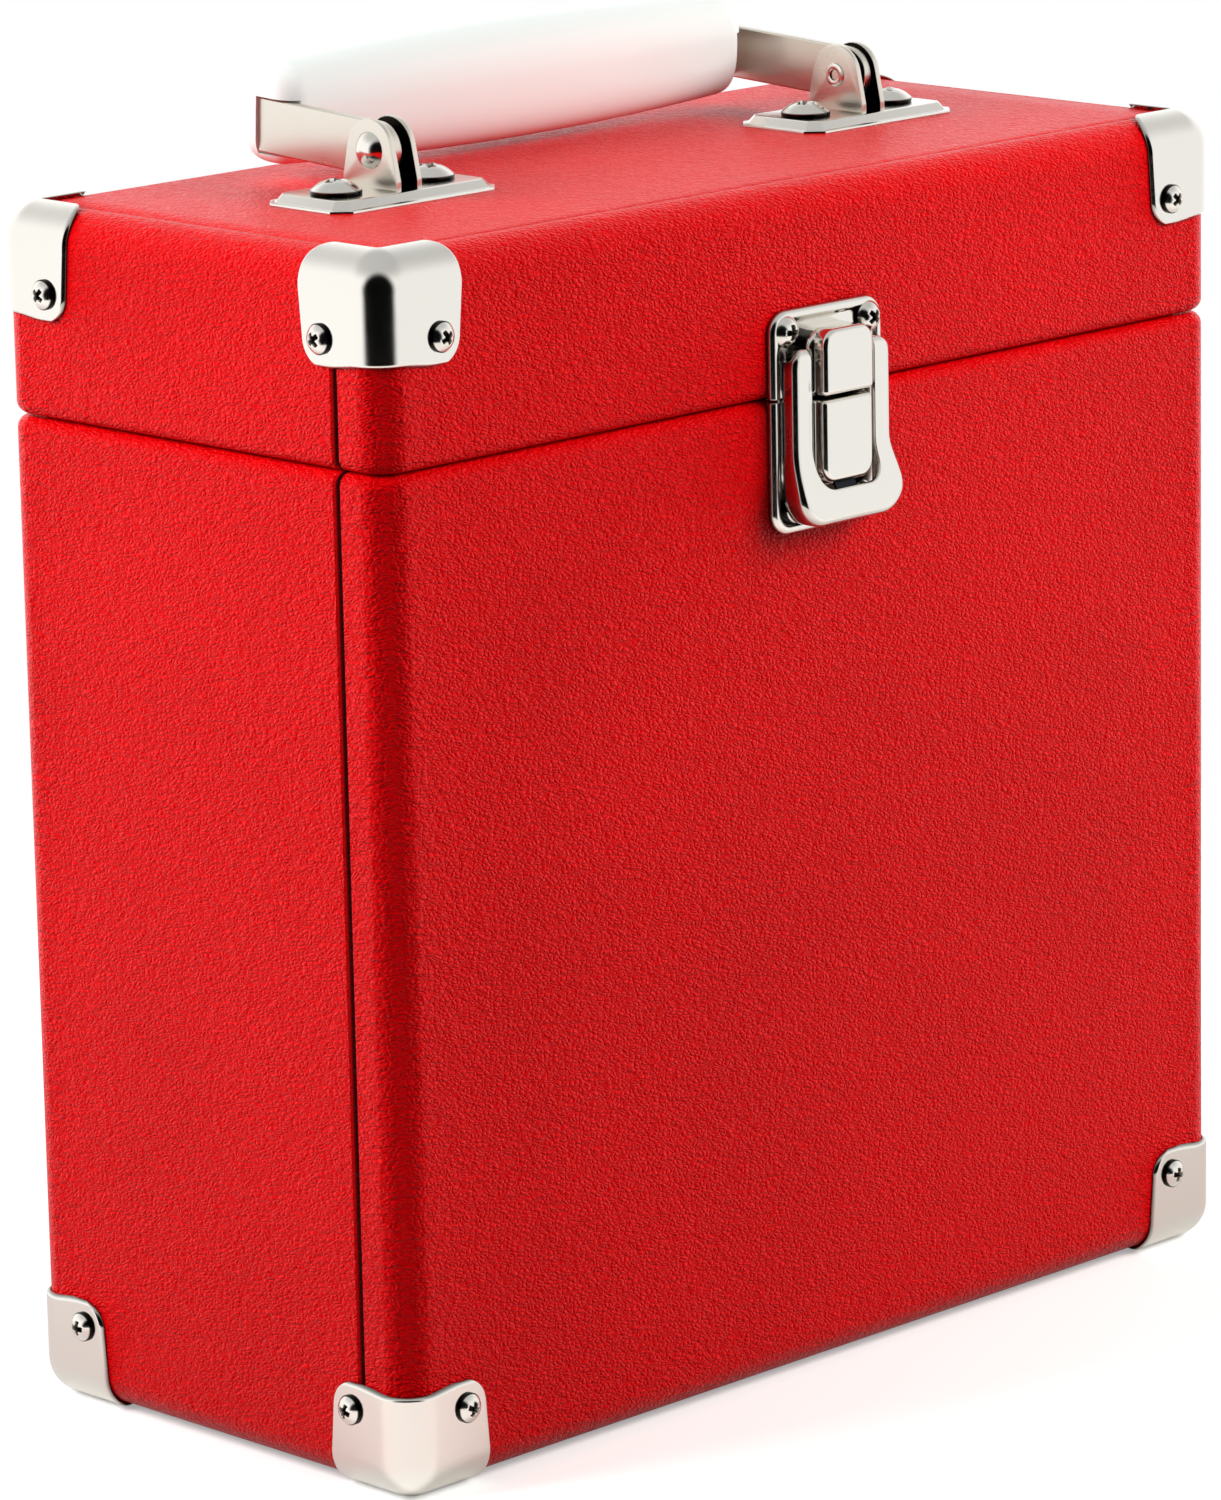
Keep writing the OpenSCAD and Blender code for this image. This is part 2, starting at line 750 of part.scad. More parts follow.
module latch_hasp() {
    corner = 2.4;
    mouth_half_w = 8.5;
    latch_frame(NICKEL) difference() {
        union() {
            intersection() {
                along_x(-bill_half_w, bill_half_w) hasp_side();
                linear_extrude(bill_out + 1) hasp_outline(0);
            }
            translate([0, pin_up, pin_out]) rotate([0, 90, 0])
                cylinder(r = knuckle_r, h = 2 * hasp_half_w, center = true);
        }
        intersection() {
            along_x(-bill_half_w, bill_half_w) hasp_pocket_side();
            linear_extrude(bill_out + 1) {
                hasp_outline(hasp_t);
                translate([-mouth_half_w, -bill_foot - 1]) square([2 * mouth_half_w, 10]);
            }
        }
        translate([0, -window_foot + 15, -1]) linear_extrude(bill_out + 3)
            rounded_rect(2 * window_half_w, 30, corner);
        translate([0, pin_up, pin_out]) rotate([0, 90, 0])
            cylinder(r = pin_r + run_fit, h = 4 * hasp_half_w, center = true);
    }
}

// Leaf spring welded inside the bill; its hook reaches up behind the foot of the keeper.
module latch_catch_spring() {
    leaf = 0.35;
    half_w = 2.5;
    seat = bill_out - hasp_t;
    hook = keeper_out - 1.5;
    latch_frame(STEEL) along_x(-half_w, half_w) polygon([
        [-bill_foot + 1.2, seat], [-bow_foot, seat], [-window_foot + 0.8, hook],
        [-keeper_foot + 1.2, hook], [-keeper_foot + 1.2, hook - leaf],
        [-window_foot + 0.5, hook - leaf], [-bow_foot - 0.2, seat - leaf],
        [-bill_foot + 1.2, seat - leaf]]);
}

module latch_lid_screws() {
    placed(STEEL) each_latch_lid_screw() translate([0, 0, latch_t]) small_screw(latch_t);
}
module latch_body_screws() {
    placed(STEEL) each_latch_body_screw() translate([0, 0, latch_t]) small_screw(latch_t);
}

// ---------------------------------------------------------------- handle

module cut_rect(l, w, cut) {
    polygon([[-l / 2 + cut, -w / 2], [l / 2 - cut, -w / 2], [l / 2, -w / 2 + cut], [l / 2, w / 2 - cut],
             [l / 2 - cut, w / 2], [-l / 2 + cut, w / 2], [-l / 2, w / 2 - cut], [-l / 2, -w / 2 + cut]]);
}

// Raised field with sloping sides; in is how far its wall lies inside the outer surface.
module raised_field(in) {
    edge = 0.8 + in;
    slope = 1.5;
    hull() {
        translate([0, 0, -in]) linear_extrude(eps)
            cut_rect(plate_l - 2 * edge, plate_w - 2 * edge, plate_cut);
        translate([0, 0, plate_h - in - eps]) linear_extrude(eps)
            cut_rect(plate_l - 2 * (edge + slope), plate_w - 2 * (edge + slope), plate_cut);
    }
}

module ear_slots() {
    gap = 0.1;
    for (s = [-1, 1])
        translate([s * (ears_half_w - ear_t / 2) - ear_t / 2 - gap, -ear_foot - gap, -1])
            cube([ear_t + 2 * gap, 2 * (ear_foot + gap), plate_h + 2]);
}

module handle_plate(s) {
    placed(NICKEL) translate([s * bracket_x, handle_y, top_z]) difference() {
        union() {
            linear_extrude(0.5) cut_rect(plate_l, plate_w, plate_cut);
            intersection() {
                raised_field(0);
                translate([-plate_l, -plate_w, 0]) cube([2 * plate_l, 2 * plate_w, plate_h]);
            }
        }
        raised_field(plate_t);
        ear_slots();
        both_ends(plate_screw_span / 2) translate([0, 0, -1])
            cylinder(d = big_shank_d + 2 * seat_fit, h = plate_h + 2);
    }
}

// Ear outline in (Y, Z): a round top about the pivot, tangent sides and an upright foot.
module ear_outline() {
    shoulder = 3.4;
    reach = norm([ear_foot, pivot_h - shoulder]);
    turn = atan2(shoulder - pivot_h, ear_foot) + acos(ear_r / reach);
    tx = ear_r * cos(turn);
    ty = pivot_h + ear_r * sin(turn);
    polygon([[-ear_foot, 0], [ear_foot, 0], [ear_foot, shoulder], [tx, ty],
             [-tx, ty], [-ear_foot, shoulder]]);
    translate([0, pivot_h]) circle(ear_r);
}

// Two ears joined by a web that lies under the raised plate.
module handle_ears(s) {
    web_t = plate_h - plate_t;
    placed(NICKEL) translate([s * bracket_x, handle_y, top_z]) difference() {
        union() {
            along_x(-ears_half_w, ears_half_w) translate([-ear_foot, 0]) square([2 * ear_foot, web_t]);
            along_x(-ears_half_w, ear_t - ears_half_w) ear_outline();
            along_x(ears_half_w - ear_t, ears_half_w) ear_outline();
        }
        translate([0, 0, pivot_h]) rotate([0, 90, 0])
            cylinder(r = rivet_r + seat_fit, h = 4 * ears_half_w, center = true);
    }
}

// Semi-tubular rivet: domed head outside, rolled hollow end inside.
module handle_rivet(s) {
    head_r = 3.25;
    head_h = 1.8;
    dome_r = (head_r * head_r + head_h * head_h) / (2 * head_h);
    roll_r = 2.2;
    roll_h = 0.5;
    placed(STEEL) translate([s * bracket_x, handle_y, pivot_z]) rotate([0, s * 90, 0])
        difference() {
            union() {
                translate([0, 0, -ears_half_w]) cylinder(r = rivet_r, h = 2 * ears_half_w);
                translate([0, 0, ears_half_w]) intersection() {
                    translate([0, 0, head_h - dome_r]) sphere(dome_r);
                    cylinder(r = head_r, h = head_h);
                }
                translate([0, 0, -ears_half_w - roll_h]) cylinder(r = roll_r, h = roll_h);
            }
            translate([0, 0, -ears_half_w - roll_h - 1]) cylinder(r = 0.6 * rivet_r, h = 4);
        }
}

module handle_plate_screws() {
    placed(STEEL) each_handle_screw() translate([0, 0, plate_h])
        screw(big_head_d, big_head_h, big_shank_d, plate_h + wall - tip_cover);
}

// Handle frame: the pivot is the origin, and the folded strap runs along +Y.
module handle_frame(shade) {
    placed(shade) translate([0, handle_y, pivot_z]) rotate([handle_rest, 0, 0]) children();
}

// U of the strap seen along Z, grown by g on every side.
module strap_outline(g) {
    far = strap_reach + strap_t / 2 + g;
    outer = strap_x + g;
    inner = strap_x - strap_t - g;
    outer_r = strap_bend + g;
    inner_r = strap_bend - strap_t - g;
    difference() {
        union() {
            translate([-outer, -strap_w]) square([2 * outer, far + strap_w - outer_r]);
            translate([-outer + outer_r, -strap_w]) square([2 * (outer - outer_r), far + strap_w]);
            both_ends(outer - outer_r) translate([0, far - outer_r]) circle(outer_r);
        }
        translate([-inner, -2 * strap_w])
            square([2 * inner, far + 2 * strap_w - strap_t - 2 * g - inner_r]);
        translate([-inner + inner_r, -2 * strap_w])
            square([2 * (inner - inner_r), far + 2 * strap_w - strap_t - 2 * g]);
        both_ends(inner - inner_r) translate([0, far - strap_t - 2 * g - inner_r]) circle(inner_r);
    }
}

module strap_solid(g) {
    translate([0, 0, -strap_w / 2 - g]) linear_extrude(strap_w + 2 * g) strap_outline(g);
}

module handle_strap() {
    handle_frame(STEEL) difference() {
        intersection() {
            strap_solid(0);
            along_x(-case_w / 2, case_w / 2) {
                circle(strap_w / 2);
                translate([0, -strap_w / 2]) square([strap_reach + strap_w, strap_w]);
            }
        }
        rotate([0, 90, 0]) cylinder(r = rivet_r + run_fit, h = case_w, center = true);
    }
}

// Slice of the grip at x: a rounded oblong, narrowed by cut on every side.
module grip_slice(x, cut) {
    w = grip_w - 2 * cut;
    h = grip_h - 2 * cut;
    translate([x, 0, 0]) along_x(0, eps) rounded_rect(w, h, 0.46 * w, $fn = 32);
}

// Barrel-shaped grip on the strap's crossbar, with a notch in each end for the strap's arm.
module handle_grip() {
    inner = strap_x - strap_t;
    x0 = -inner - notch_depth + 0.15;
    x1 = inner - grip_play;
    half = (x1 - x0) / 2;
    flat = half - grip_end_r;
    fall = grip_taper / 2;
    handle_frame(WHITE) difference() {
        translate([(x0 + x1) / 2, strap_reach - grip_lead, grip_off]) hull() {
            for (i = [-4 : 4]) grip_slice(flat * i / 4 - eps / 2, fall * pow(i / 4, 2));
            for (s = [-1, 1], a = [30, 60, 90])
                grip_slice(s * (flat + (grip_end_r - eps) * sin(a)) - eps / 2,
                    fall + grip_end_r * (1 - cos(a)));
        }
        strap_solid(seat_fit);
        for (end = [[x0 - 1, x0 + notch_depth], [x1 - notch_depth, x1 + 1]])
            translate([end[0], -strap_w, -strap_w / 2 - 0.3])
                cube([end[1] - end[0], strap_w + strap_reach + strap_t / 2 + 0.3, strap_w + 0.6]);
    }
}

// ---------------------------------------------------------------- rear hinges

// Hinge frame: X along the pin, Y up from the seam, Z out of the back face.
module hinge_frame(shade, s) {
    placed(shade) on_back(s * hinge_x, seam_z) children();
}

// Leaf with its barrel segments between the given pairs of ends along the pin.
module hinge_leaf(up, segments) {
    notch = barrel_r + 0.3;
    difference() {
        union() {
            translate([-hinge_w / 2, up > 0 ? notch : -leaf_h, 0]) cube([hinge_w, leaf_h - notch, leaf_t]);
            for (seg = segments) {
                translate([seg[0], up > 0 ? 0 : -notch - eps, barrel_gap])
                    cube([seg[1] - seg[0], notch + eps, leaf_t - barrel_gap]);
                translate([seg[0], 0, barrel_out]) rotate([0, 90, 0])
                    cylinder(r = barrel_r, h = seg[1] - seg[0]);
            }
        }
        translate([0, 0, barrel_out]) rotate([0, 90, 0])
            cylinder(r = hinge_pin_r + run_fit, h = 2 * hinge_w, center = true);
        both_ends(hinge_w / 2 - screw_head_d / 2 - 2)
            translate([0, up * (leaf_h - screw_head_d / 2 - 2), 0]) screw_hole(screw_shank_d, 2);
    }
}

module hinge_body_leaf(s) {
    hinge_frame(NICKEL, s) hinge_leaf(-1, [
        [-hinge_w / 2, -barrel_part / 2 - side_gap],
        [barrel_part / 2 + side_gap, hinge_w / 2]]);
}
module hinge_lid_leaf(s) {
    hinge_frame(NICKEL, s) hinge_leaf(1, [[-barrel_part / 2, barrel_part / 2]]);
}
module hinge_pin(s) {
    hinge_frame(STEEL, s) translate([0, 0, barrel_out]) rotate([0, 90, 0])
        cylinder(r = hinge_pin_r, h = hinge_w, center = true);
}
module hinge_body_screws() {
    placed(STEEL) each_hinge_screw(-1)
        translate([0, 0, leaf_t]) small_screw(leaf_t, hinge_head_h);
}
module hinge_lid_screws() {
    placed(STEEL) each_hinge_screw(1)
        translate([0, 0, leaf_t]) small_screw(leaf_t, hinge_head_h);
}

// ---------------------------------------------------------------- nodes

body_front_board();
body_back_board();
body_side_board(-1);  // body_left_board
body_side_board(1);  // body_right_board
body_floor_board();
body_cover();
body_front_cover();
body_lining();
inner_lip();
lid_front_board();
lid_back_board();
lid_side_board(-1);  // lid_left_board
lid_side_board(1);  // lid_right_board
lid_top_board();
lid_cover();
lid_front_cover();
lid_lining();
body_bracket(-1, -1);  // body_bracket_front_left
body_bracket(1, -1);  // body_bracket_front_right
body_bracket(-1, 1);  // body_bracket_back_left
body_bracket(1, 1);  // body_bracket_back_right
lid_bracket(-1, -1);  // lid_bracket_front_left
lid_bracket(1, -1);  // lid_bracket_front_right
lid_bracket(-1, 1);  // lid_bracket_back_left
lid_bracket(1, 1);  // lid_bracket_back_right
body_bracket_screws();
lid_bracket_screws();
latch_lid_plate();
latch_hinge_housing();
latch_hasp_pin();
latch_hasp();
latch_catch_spring();
latch_body_plate();
latch_keeper();
latch_lid_screws();
latch_body_screws();
handle_plate(-1);  // handle_plate_left
handle_plate(1);  // handle_plate_right
handle_ears(-1);  // handle_ears_left
handle_ears(1);  // handle_ears_right
handle_rivet(-1);  // handle_rivet_left
handle_rivet(1);  // handle_rivet_right
handle_plate_screws();
handle_strap();
handle_grip();
hinge_body_leaf(-1);  // hinge_body_leaf_left
hinge_body_leaf(1);  // hinge_body_leaf_right
hinge_lid_leaf(-1);  // hinge_lid_leaf_left
hinge_lid_leaf(1);  // hinge_lid_leaf_right
hinge_pin(-1);  // hinge_pin_left
hinge_pin(1);  // hinge_pin_right
hinge_body_screws();
hinge_lid_screws();
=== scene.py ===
"""Finish of an upright 7-inch record carrying case: leatherette, nickel plate and a white grip."""

import math
from functools import partial

import bmesh
import bpy
import numpy as np
from mathutils import Matrix, Vector


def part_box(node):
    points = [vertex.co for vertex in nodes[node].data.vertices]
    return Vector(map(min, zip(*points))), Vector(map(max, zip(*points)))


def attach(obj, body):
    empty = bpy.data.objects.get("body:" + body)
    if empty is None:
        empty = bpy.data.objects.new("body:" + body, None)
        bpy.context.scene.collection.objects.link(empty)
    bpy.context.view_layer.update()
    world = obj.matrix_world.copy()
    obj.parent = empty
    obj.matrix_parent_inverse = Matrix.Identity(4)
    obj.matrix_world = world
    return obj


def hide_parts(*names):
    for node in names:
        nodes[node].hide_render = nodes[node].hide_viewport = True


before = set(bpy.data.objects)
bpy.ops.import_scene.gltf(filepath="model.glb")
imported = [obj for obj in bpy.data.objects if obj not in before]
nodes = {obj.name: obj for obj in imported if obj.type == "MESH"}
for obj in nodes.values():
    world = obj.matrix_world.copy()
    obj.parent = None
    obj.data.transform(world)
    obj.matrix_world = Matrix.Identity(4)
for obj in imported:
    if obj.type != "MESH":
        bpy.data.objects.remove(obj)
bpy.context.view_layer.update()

# ---------------------------------------------------------------- studio
# The case stands on a round pale table top in an even white room. Two square soft lamps hang above
# it, one behind its left end and one before its right end. The side of the room behind the camera
# is dark, which is what gives plated metal its black streaks.

MM = 0.001

CAMERA_PLACE_MM = (-886.757, -883.884, 401.948)
CAMERA_HEADING = 44.84  # degrees from +Y towards +X
CAMERA_FALL = 13.288  # degrees below the horizon
CAMERA_ROLL = 1.138
CAMERA_LENS_MM = 171.24

scene = bpy.context.scene
scene.view_settings.view_transform = "Standard"

heading, fall = math.radians(CAMERA_HEADING), math.radians(CAMERA_FALL)
ahead_x, ahead_y = math.sin(heading), math.cos(heading)
forward = Vector((ahead_x * math.cos(fall), ahead_y * math.cos(fall), -math.sin(fall)))
level_turn = forward.to_track_quat("-Z", "Y").to_matrix()
camera = bpy.data.objects.new("camera", bpy.data.cameras.new("camera"))
camera.data.lens = CAMERA_LENS_MM
camera.data.clip_start = 0.05
camera.data.clip_end = 20
camera.rotation_mode = "QUATERNION"
camera.location = Vector(CAMERA_PLACE_MM) * MM
camera.rotation_quaternion = (
    Matrix.Rotation(math.radians(CAMERA_ROLL), 3, forward) @ level_turn
).to_quaternion()
scene.collection.objects.link(camera)
scene.camera = camera


def hex_colour(text):
    """sRGB hex to linear RGBA. A channel c gives c / 12.92 up to 0.04045, and above it
    ((c + 0.055) / 1.055) ** 2.4."""
    channels = np.array([int(text[i : i + 2], 16) for i in (1, 3, 5)]) / 255
    linear = np.where(channels <= 0.04045, channels / 12.92, ((channels + 0.055) / 1.055) ** 2.4)
    return (*linear.tolist(), 1.0)


def add_node(tree, kind, inputs=None, stops=(), **settings):
    """Adds a shader node of that kind with its settings. An input takes a value, a socket, or a node,
    which stands for its first output. stops are a ramp's places and colours, in order."""
    node = tree.nodes.new("ShaderNode" + kind)
    for key, value in settings.items():
        setattr(node, key, value)
    for key, value in (inputs or {}).items():
        value = value.outputs[0] if isinstance(value, bpy.types.Node) else value
        if isinstance(value, bpy.types.NodeSocket):
            tree.links.new(value, node.inputs[key])
        else:
            node.inputs[key].default_value = value
    for i, (place, colour) in enumerate(stops):
        stop = node.color_ramp.elements[i] if i < 2 else node.color_ramp.elements.new(place)
        stop.position = place
        stop.color = hex_colour(colour) if isinstance(colour, str) else colour
    return node


def emptied(tree):
    """Clears a node tree, and returns the call that adds a node to it."""
    tree.nodes.clear()
    return partial(add_node, tree)


def new_material(name):
    """An empty node material, and the call that adds a node to it."""
    material = bpy.data.materials.new(name)
    material.use_nodes = True
    return material, emptied(material.node_tree)


LAMP_SIDE = 0.4
LAMP_AIM = (0, 0, 0.14)
for name, place, power, tint in (
    ("left_softbox", (-0.56, 0.27, 0.48), 5.15, "#FFFFFF"),
    ("right_softbox", (0.40, -0.57, 0.54), 5.9, "#FFFDFA"),
):
    lamp = bpy.data.objects.new(name, bpy.data.lights.new(name, "AREA"))
    lamp.data.size = LAMP_SIDE
    lamp.data.energy = power
    lamp.data.color = hex_colour(tint)[:3]
    lamp.visible_glossy = False
    lamp.location = place
    lamp.rotation_mode = "QUATERNION"
    lamp.rotation_quaternion = (Vector(LAMP_AIM) - Vector(place)).to_track_quat("-Z", "Y")
    scene.collection.objects.link(lamp)

# gloss sees bright walls and a dark oval round the camera; matt surfaces see a dimmer sky
DARK_OVAL = (0.74, 0.8)  # half width and half height, as sines
room = bpy.data.worlds.new("white_room")
room.use_nodes = True
scene.world = room
add = emptied(room.node_tree)
way = add("TexCoord").outputs["Generated"]
height = add("SeparateXYZ", {"Vector": way}).outputs["Z"]
front_way, side_way = (-ahead_x, -ahead_y, 0.0), (ahead_y, -ahead_x, 0.0)
ahead = add("VectorMath", {0: way, 1: front_way}, operation="DOT_PRODUCT").outputs["Value"]
aside = add("VectorMath", {0: way, 1: side_way}, operation="DOT_PRODUCT").outputs["Value"]
across = add("Math", {0: aside, 1: DARK_OVAL[0]}, operation="DIVIDE")
above = add("Math", {0: height, 1: DARK_OVAL[1]}, operation="DIVIDE")
across = add("Math", {0: across, 1: across}, operation="MULTIPLY")
oval = add("Math", {0: above, 1: above, 2: across}, operation="MULTIPLY_ADD")
parts = {}
for part, value, start, end, first, last, kind in (
    ("outside", oval, 0.62, 1.15, 0.0, 1.0, "SMOOTHSTEP"),
    ("beyond", ahead, 0.0, 0.12, 1.0, 0.0, "SMOOTHSTEP"),
    ("wall", ahead, -0.95, -0.35, 1.1, 1.0, "SMOOTHSTEP"),
    ("ceiling", height, 0.35, 0.85, 1.0, 0.55, "SMOOTHSTEP"),
    ("sides", aside, -0.8, 0.8, 1.3, 1.12, "LINEAR"),
):
    limits = {"From Min": start, "From Max": end, "To Min": first, "To Max": last}
    parts[part] = add("MapRange", {"Value": value, **limits}, interpolation_type=kind)
bright = add("Math", {0: parts["outside"], 1: parts["beyond"]}, operation="MAXIMUM")
wall = add("Math", {0: parts["wall"], 1: parts["ceiling"]}, operation="MULTIPLY")
wall = add("Math", {0: wall, 1: parts["sides"]}, operation="MULTIPLY")
mirror = add("MapRange", {"Value": bright, "To Min": 0.003, "To Max": wall})
upward = add("MapRange", {"Value": height, "From Min": -1.0, "From Max": 1.0})
greys = ((0.35, 0.08), (0.5, 0.46), (0.7, 0.42), (1.0, 0.12))
sky = add("ValToRGB", {"Fac": upward}, [(place, (grey, grey, grey, 1)) for place, grey in greys])
shaded = add("MapRange", {"Value": bright, "To Min": 0.15, "To Max": 1.0})
rays = add("LightPath").outputs
glossy = add("Background", {"Color": (0.97, 0.99, 1.0, 1), "Strength": mirror})
diffuse = add("Background", {"Color": sky, "Strength": shaded})
plain = add("Background", {"Color": (1, 1, 1, 1), "Strength": 1.0})
lit = add("MixShader", {0: rays["Is Glossy Ray"], 1: diffuse, 2: glossy})
seen = add("MixShader", {0: rays["Is Camera Ray"], 1: lit, 2: plain})
add("OutputWorld", {"Surface": seen})

FLOOR_RADIUS_MM = 420
turns = np.linspace(0, 2 * math.pi, 97)[:-1]
rim = np.stack([np.cos(turns), np.sin(turns), np.zeros(len(turns))], axis=1) * FLOOR_RADIUS_MM * MM
floor_mesh = bpy.data.meshes.new("floor")
floor_mesh.from_pydata(rim.tolist(), [], [list(range(len(rim)))])
floor = bpy.data.objects.new("floor", floor_mesh)
scene.collection.objects.link(floor)

# background paper: matt white to the camera, paler than it lights the case
paper, add = new_material("white_background_paper")
matt = add("BsdfDiffuse", {"Color": hex_colour("#F9F9F8")})
white = add("Emission", {"Color": (1, 1, 1, 1), "Strength": 0.35})
shown = add("AddShader", {0: matt, 1: white})
dim = add("BsdfDiffuse", {"Color": hex_colour("#74726F")})
rays = add("LightPath").outputs
both = add("MixShader", {0: rays["Is Glossy Ray"], 1: dim, 2: matt})
both = add("MixShader", {0: rays["Is Camera Ray"], 1: both, 2: shown})
add("OutputMaterial", {"Surface": both})
floor_mesh.materials.append(paper)

# ---------------------------------------------------------------- boards, lining and lip
# The walls are 4 mm pressed fibreboard, covered on both sides. They are lined with black embossed
# paper, and the lip that guides the lid is the same board wrapped in that paper.


def dress(material, names):
    """Gives CAD nodes one material in all their slots."""
    for name in names:
        slots = nodes[name].data.materials
        slots.clear()
        slots.append(material)


# fibreboard: brown wood fibre pressed hard, matt, with darker flecks 1 to 3 mm long
fibreboard, add = new_material("pressed_fibreboard")
spot = add("TexCoord").outputs["Object"]
drawn = add("Mapping", {"Vector": spot, "Scale": (1.0, 1.0, 0.4)})
fleck = add("TexNoise", {"Vector": drawn, "Scale": 650, "Detail": 4})
brown = add("ValToRGB", {"Fac": fleck}, ((0.32, "#8A6A47"), (0.66, "#BC9A70")))
fuzz = add("Bump", {"Height": fleck, "Strength": 0.4, "Distance": 0.0001})
shader = add("BsdfPrincipled", {"Base Color": brown, "Roughness": 0.85, "Normal": fuzz})
add("OutputMaterial", {"Surface": shader})
dress(fibreboard, [name for name in nodes if name.endswith("_board")])

# lining paper: dyed black paper embossed with a fine linen weave, softly glossy
LINEN_PITCH_MM = 0.8
lining_paper, add = new_material("black_lining_paper")
spot = add("TexCoord").outputs["Object"]
pitch = (2 * math.pi / (LINEN_PITCH_MM * MM),) * 3
threads = add("VectorMath", {0: spot, 1: pitch}, operation="MULTIPLY")
waves = add("VectorMath", {0: threads}, operation="SINE")
axes = add("SeparateXYZ", {"Vector": waves}).outputs
weave = add("Math", {0: axes["X"], 1: axes["Y"]}, operation="ADD")
weave = add("Math", {0: weave, 1: axes["Z"]}, operation="ADD")
cloud = add("TexNoise", {"Vector": spot, "Scale": 45, "Detail": 3})
black = add("ValToRGB", {"Fac": cloud}, ((0.0, "#161617"), (1.0, "#242426")))
emboss = add("Bump", {"Height": weave, "Strength": 0.25, "Distance": 0.00008})
shader = add("BsdfPrincipled", {"Base Color": black, "Roughness": 0.58, "Normal": emboss})
add("OutputMaterial", {"Surface": shader})
dress(lining_paper, ["body_lining", "lid_lining", "inner_lip"])

# ---------------------------------------------------------------- leatherette
# Embossed vinyl on cloth, 0.8 mm thick, glued to the boards and folded over their rims. One
# piece wraps sides, back and top (or floor); the front piece turns 10.7 mm back on to each side
# and laps there, which leaves a narrow open groove. The vinyl creases where it is rolled over.

body_low, body_high = (np.array(corner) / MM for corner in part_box("body_cover"))
lid_low, lid_high = (np.array(corner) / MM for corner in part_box("lid_cover"))
HALF_W = (body_high[0] - body_low[0]) / 2
FRONT_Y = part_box("body_front_cover")[0][1] / MM
BACK_Y = body_high[1]
MID_Y = (FRONT_Y + BACK_Y) / 2
HALF_D = (BACK_Y - FRONT_Y) / 2
FLOOR_Z = body_low[2]
BODY_RIM_Z = body_high[2]
LID_RIM_Z = lid_low[2]
TOP_Z = lid_high[2]
SEAM_Z = (BODY_RIM_Z + LID_RIM_Z) / 2

EDGE_R = 6.0
RIM_R = 2.2
WALL = 4.8
FRONT_WRAP = 10.7
LAP_TUCK = 0.6
GROOVE_W = 0.9
GROOVE_DEPTH = 0.75
SKIN = 0.6


def spaced(start, end, step):
    """Evenly spaced numbers from start to end, about one step apart, ends included."""
    return np.linspace(start, end, max(2, int(round(abs(end - start) / step)) + 1))


def grid_mesh(name, grids, sharp_above=38):
    """One mesh from grids of points in mm, each an array (rows, columns, 3), with its UV in mm and a
    crease value, which carries wrinkle strength and painted shade. closed joins the last row to the
    first, skip leaves out cells, and caps lists which ends of the columns are filled. Faces look along
    row direction x column direction unless flip is set. Doubled points are merged, and edges that turn
    by more than sharp_above degrees stay sharp."""
    points, faces, uvs, creases = [], [], [], []
    start = 0
    for grid in grids:
        place, caps = grid["place"], grid.get("caps", ())
        crease = grid.get("crease", np.zeros(place.shape[:2]))
        if grid.get("closed"):
            place, crease = np.concatenate([place, place[:1]]), np.concatenate([crease, crease[:1]])
        rows, columns = place.shape[:2]
        index = start + np.arange(rows * columns).reshape(rows, columns)
        cells = np.stack([index[:-1, :-1], index[1:, :-1], index[1:, 1:], index[:-1, 1:]], axis=-1)
        if "skip" in grid:
            cells = cells[~grid["skip"]]
        cells = cells.reshape(-1, 4).tolist()
        cells += [index[::-1, 0].tolist()] if "first" in caps else []
        cells += [index[:, -1].tolist()] if "last" in caps else []
        if grid.get("closed"):
            cells = [cell if len(cell) == 4 else cell[:-1] for cell in cells]
        faces += [cell[::-1] for cell in cells] if grid.get("flip") else cells
        points.append(place.reshape(-1, 3) * MM)
        uvs.append(grid.get("uv", np.zeros((rows, columns, 2))).reshape(-1, 2) * MM)
        creases.append(crease.reshape(-1))
        start += rows * columns
    points, uvs, creases = np.concatenate(points), np.concatenate(uvs), np.concatenate(creases)
    mesh = bpy.data.meshes.new(name)
    mesh.from_pydata(points, [], faces)
    layer = mesh.uv_layers.new(name="surface_mm")
    corners = np.concatenate([np.asarray(face) for face in faces])
    layer.data.foreach_set("uv", uvs[corners].astype(np.float32).reshape(-1))
    crease = mesh.attributes.new("crease", "FLOAT", "POINT")
    crease.data.foreach_set("value", creases.astype(np.float32))
    work = bmesh.new()
    work.from_mesh(mesh)
    bmesh.ops.remove_doubles(work, verts=work.verts, dist=2e-6)
    bmesh.ops.dissolve_degenerate(work, edges=work.edges, dist=1e-7)
    work.to_mesh(mesh)
    work.free()
    mesh.shade_smooth()
    mesh.set_sharp_from_angle(angle=math.radians(sharp_above))
    return mesh


def place_piece(name, shape, body, material, node):
    """Puts a mesh, or the grids of one, in the scene as a piece that rides on a body, stands for a CAD
    node, if any, and takes its finish from a material slot."""
    mesh = shape if isinstance(shape, bpy.types.Mesh) else grid_mesh(name, shape)
    mesh.materials.append(material)
    piece = bpy.data.objects.new(name, mesh)
    scene.collection.objects.link(piece)
    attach(piece, body)
    if node:
        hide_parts(node)
    return piece


WALLS = {"front": (0, -1), "back": (0, 1), "left": (-1, 0), "right": (1, 0),
         "corner_lf": (-1, -1), "corner_rf": (1, -1), "corner_rb": (1, 1), "corner_lb": (-1, 1)}
flat_x, flat_y = HALF_W - EDGE_R, HALF_D - EDGE_R


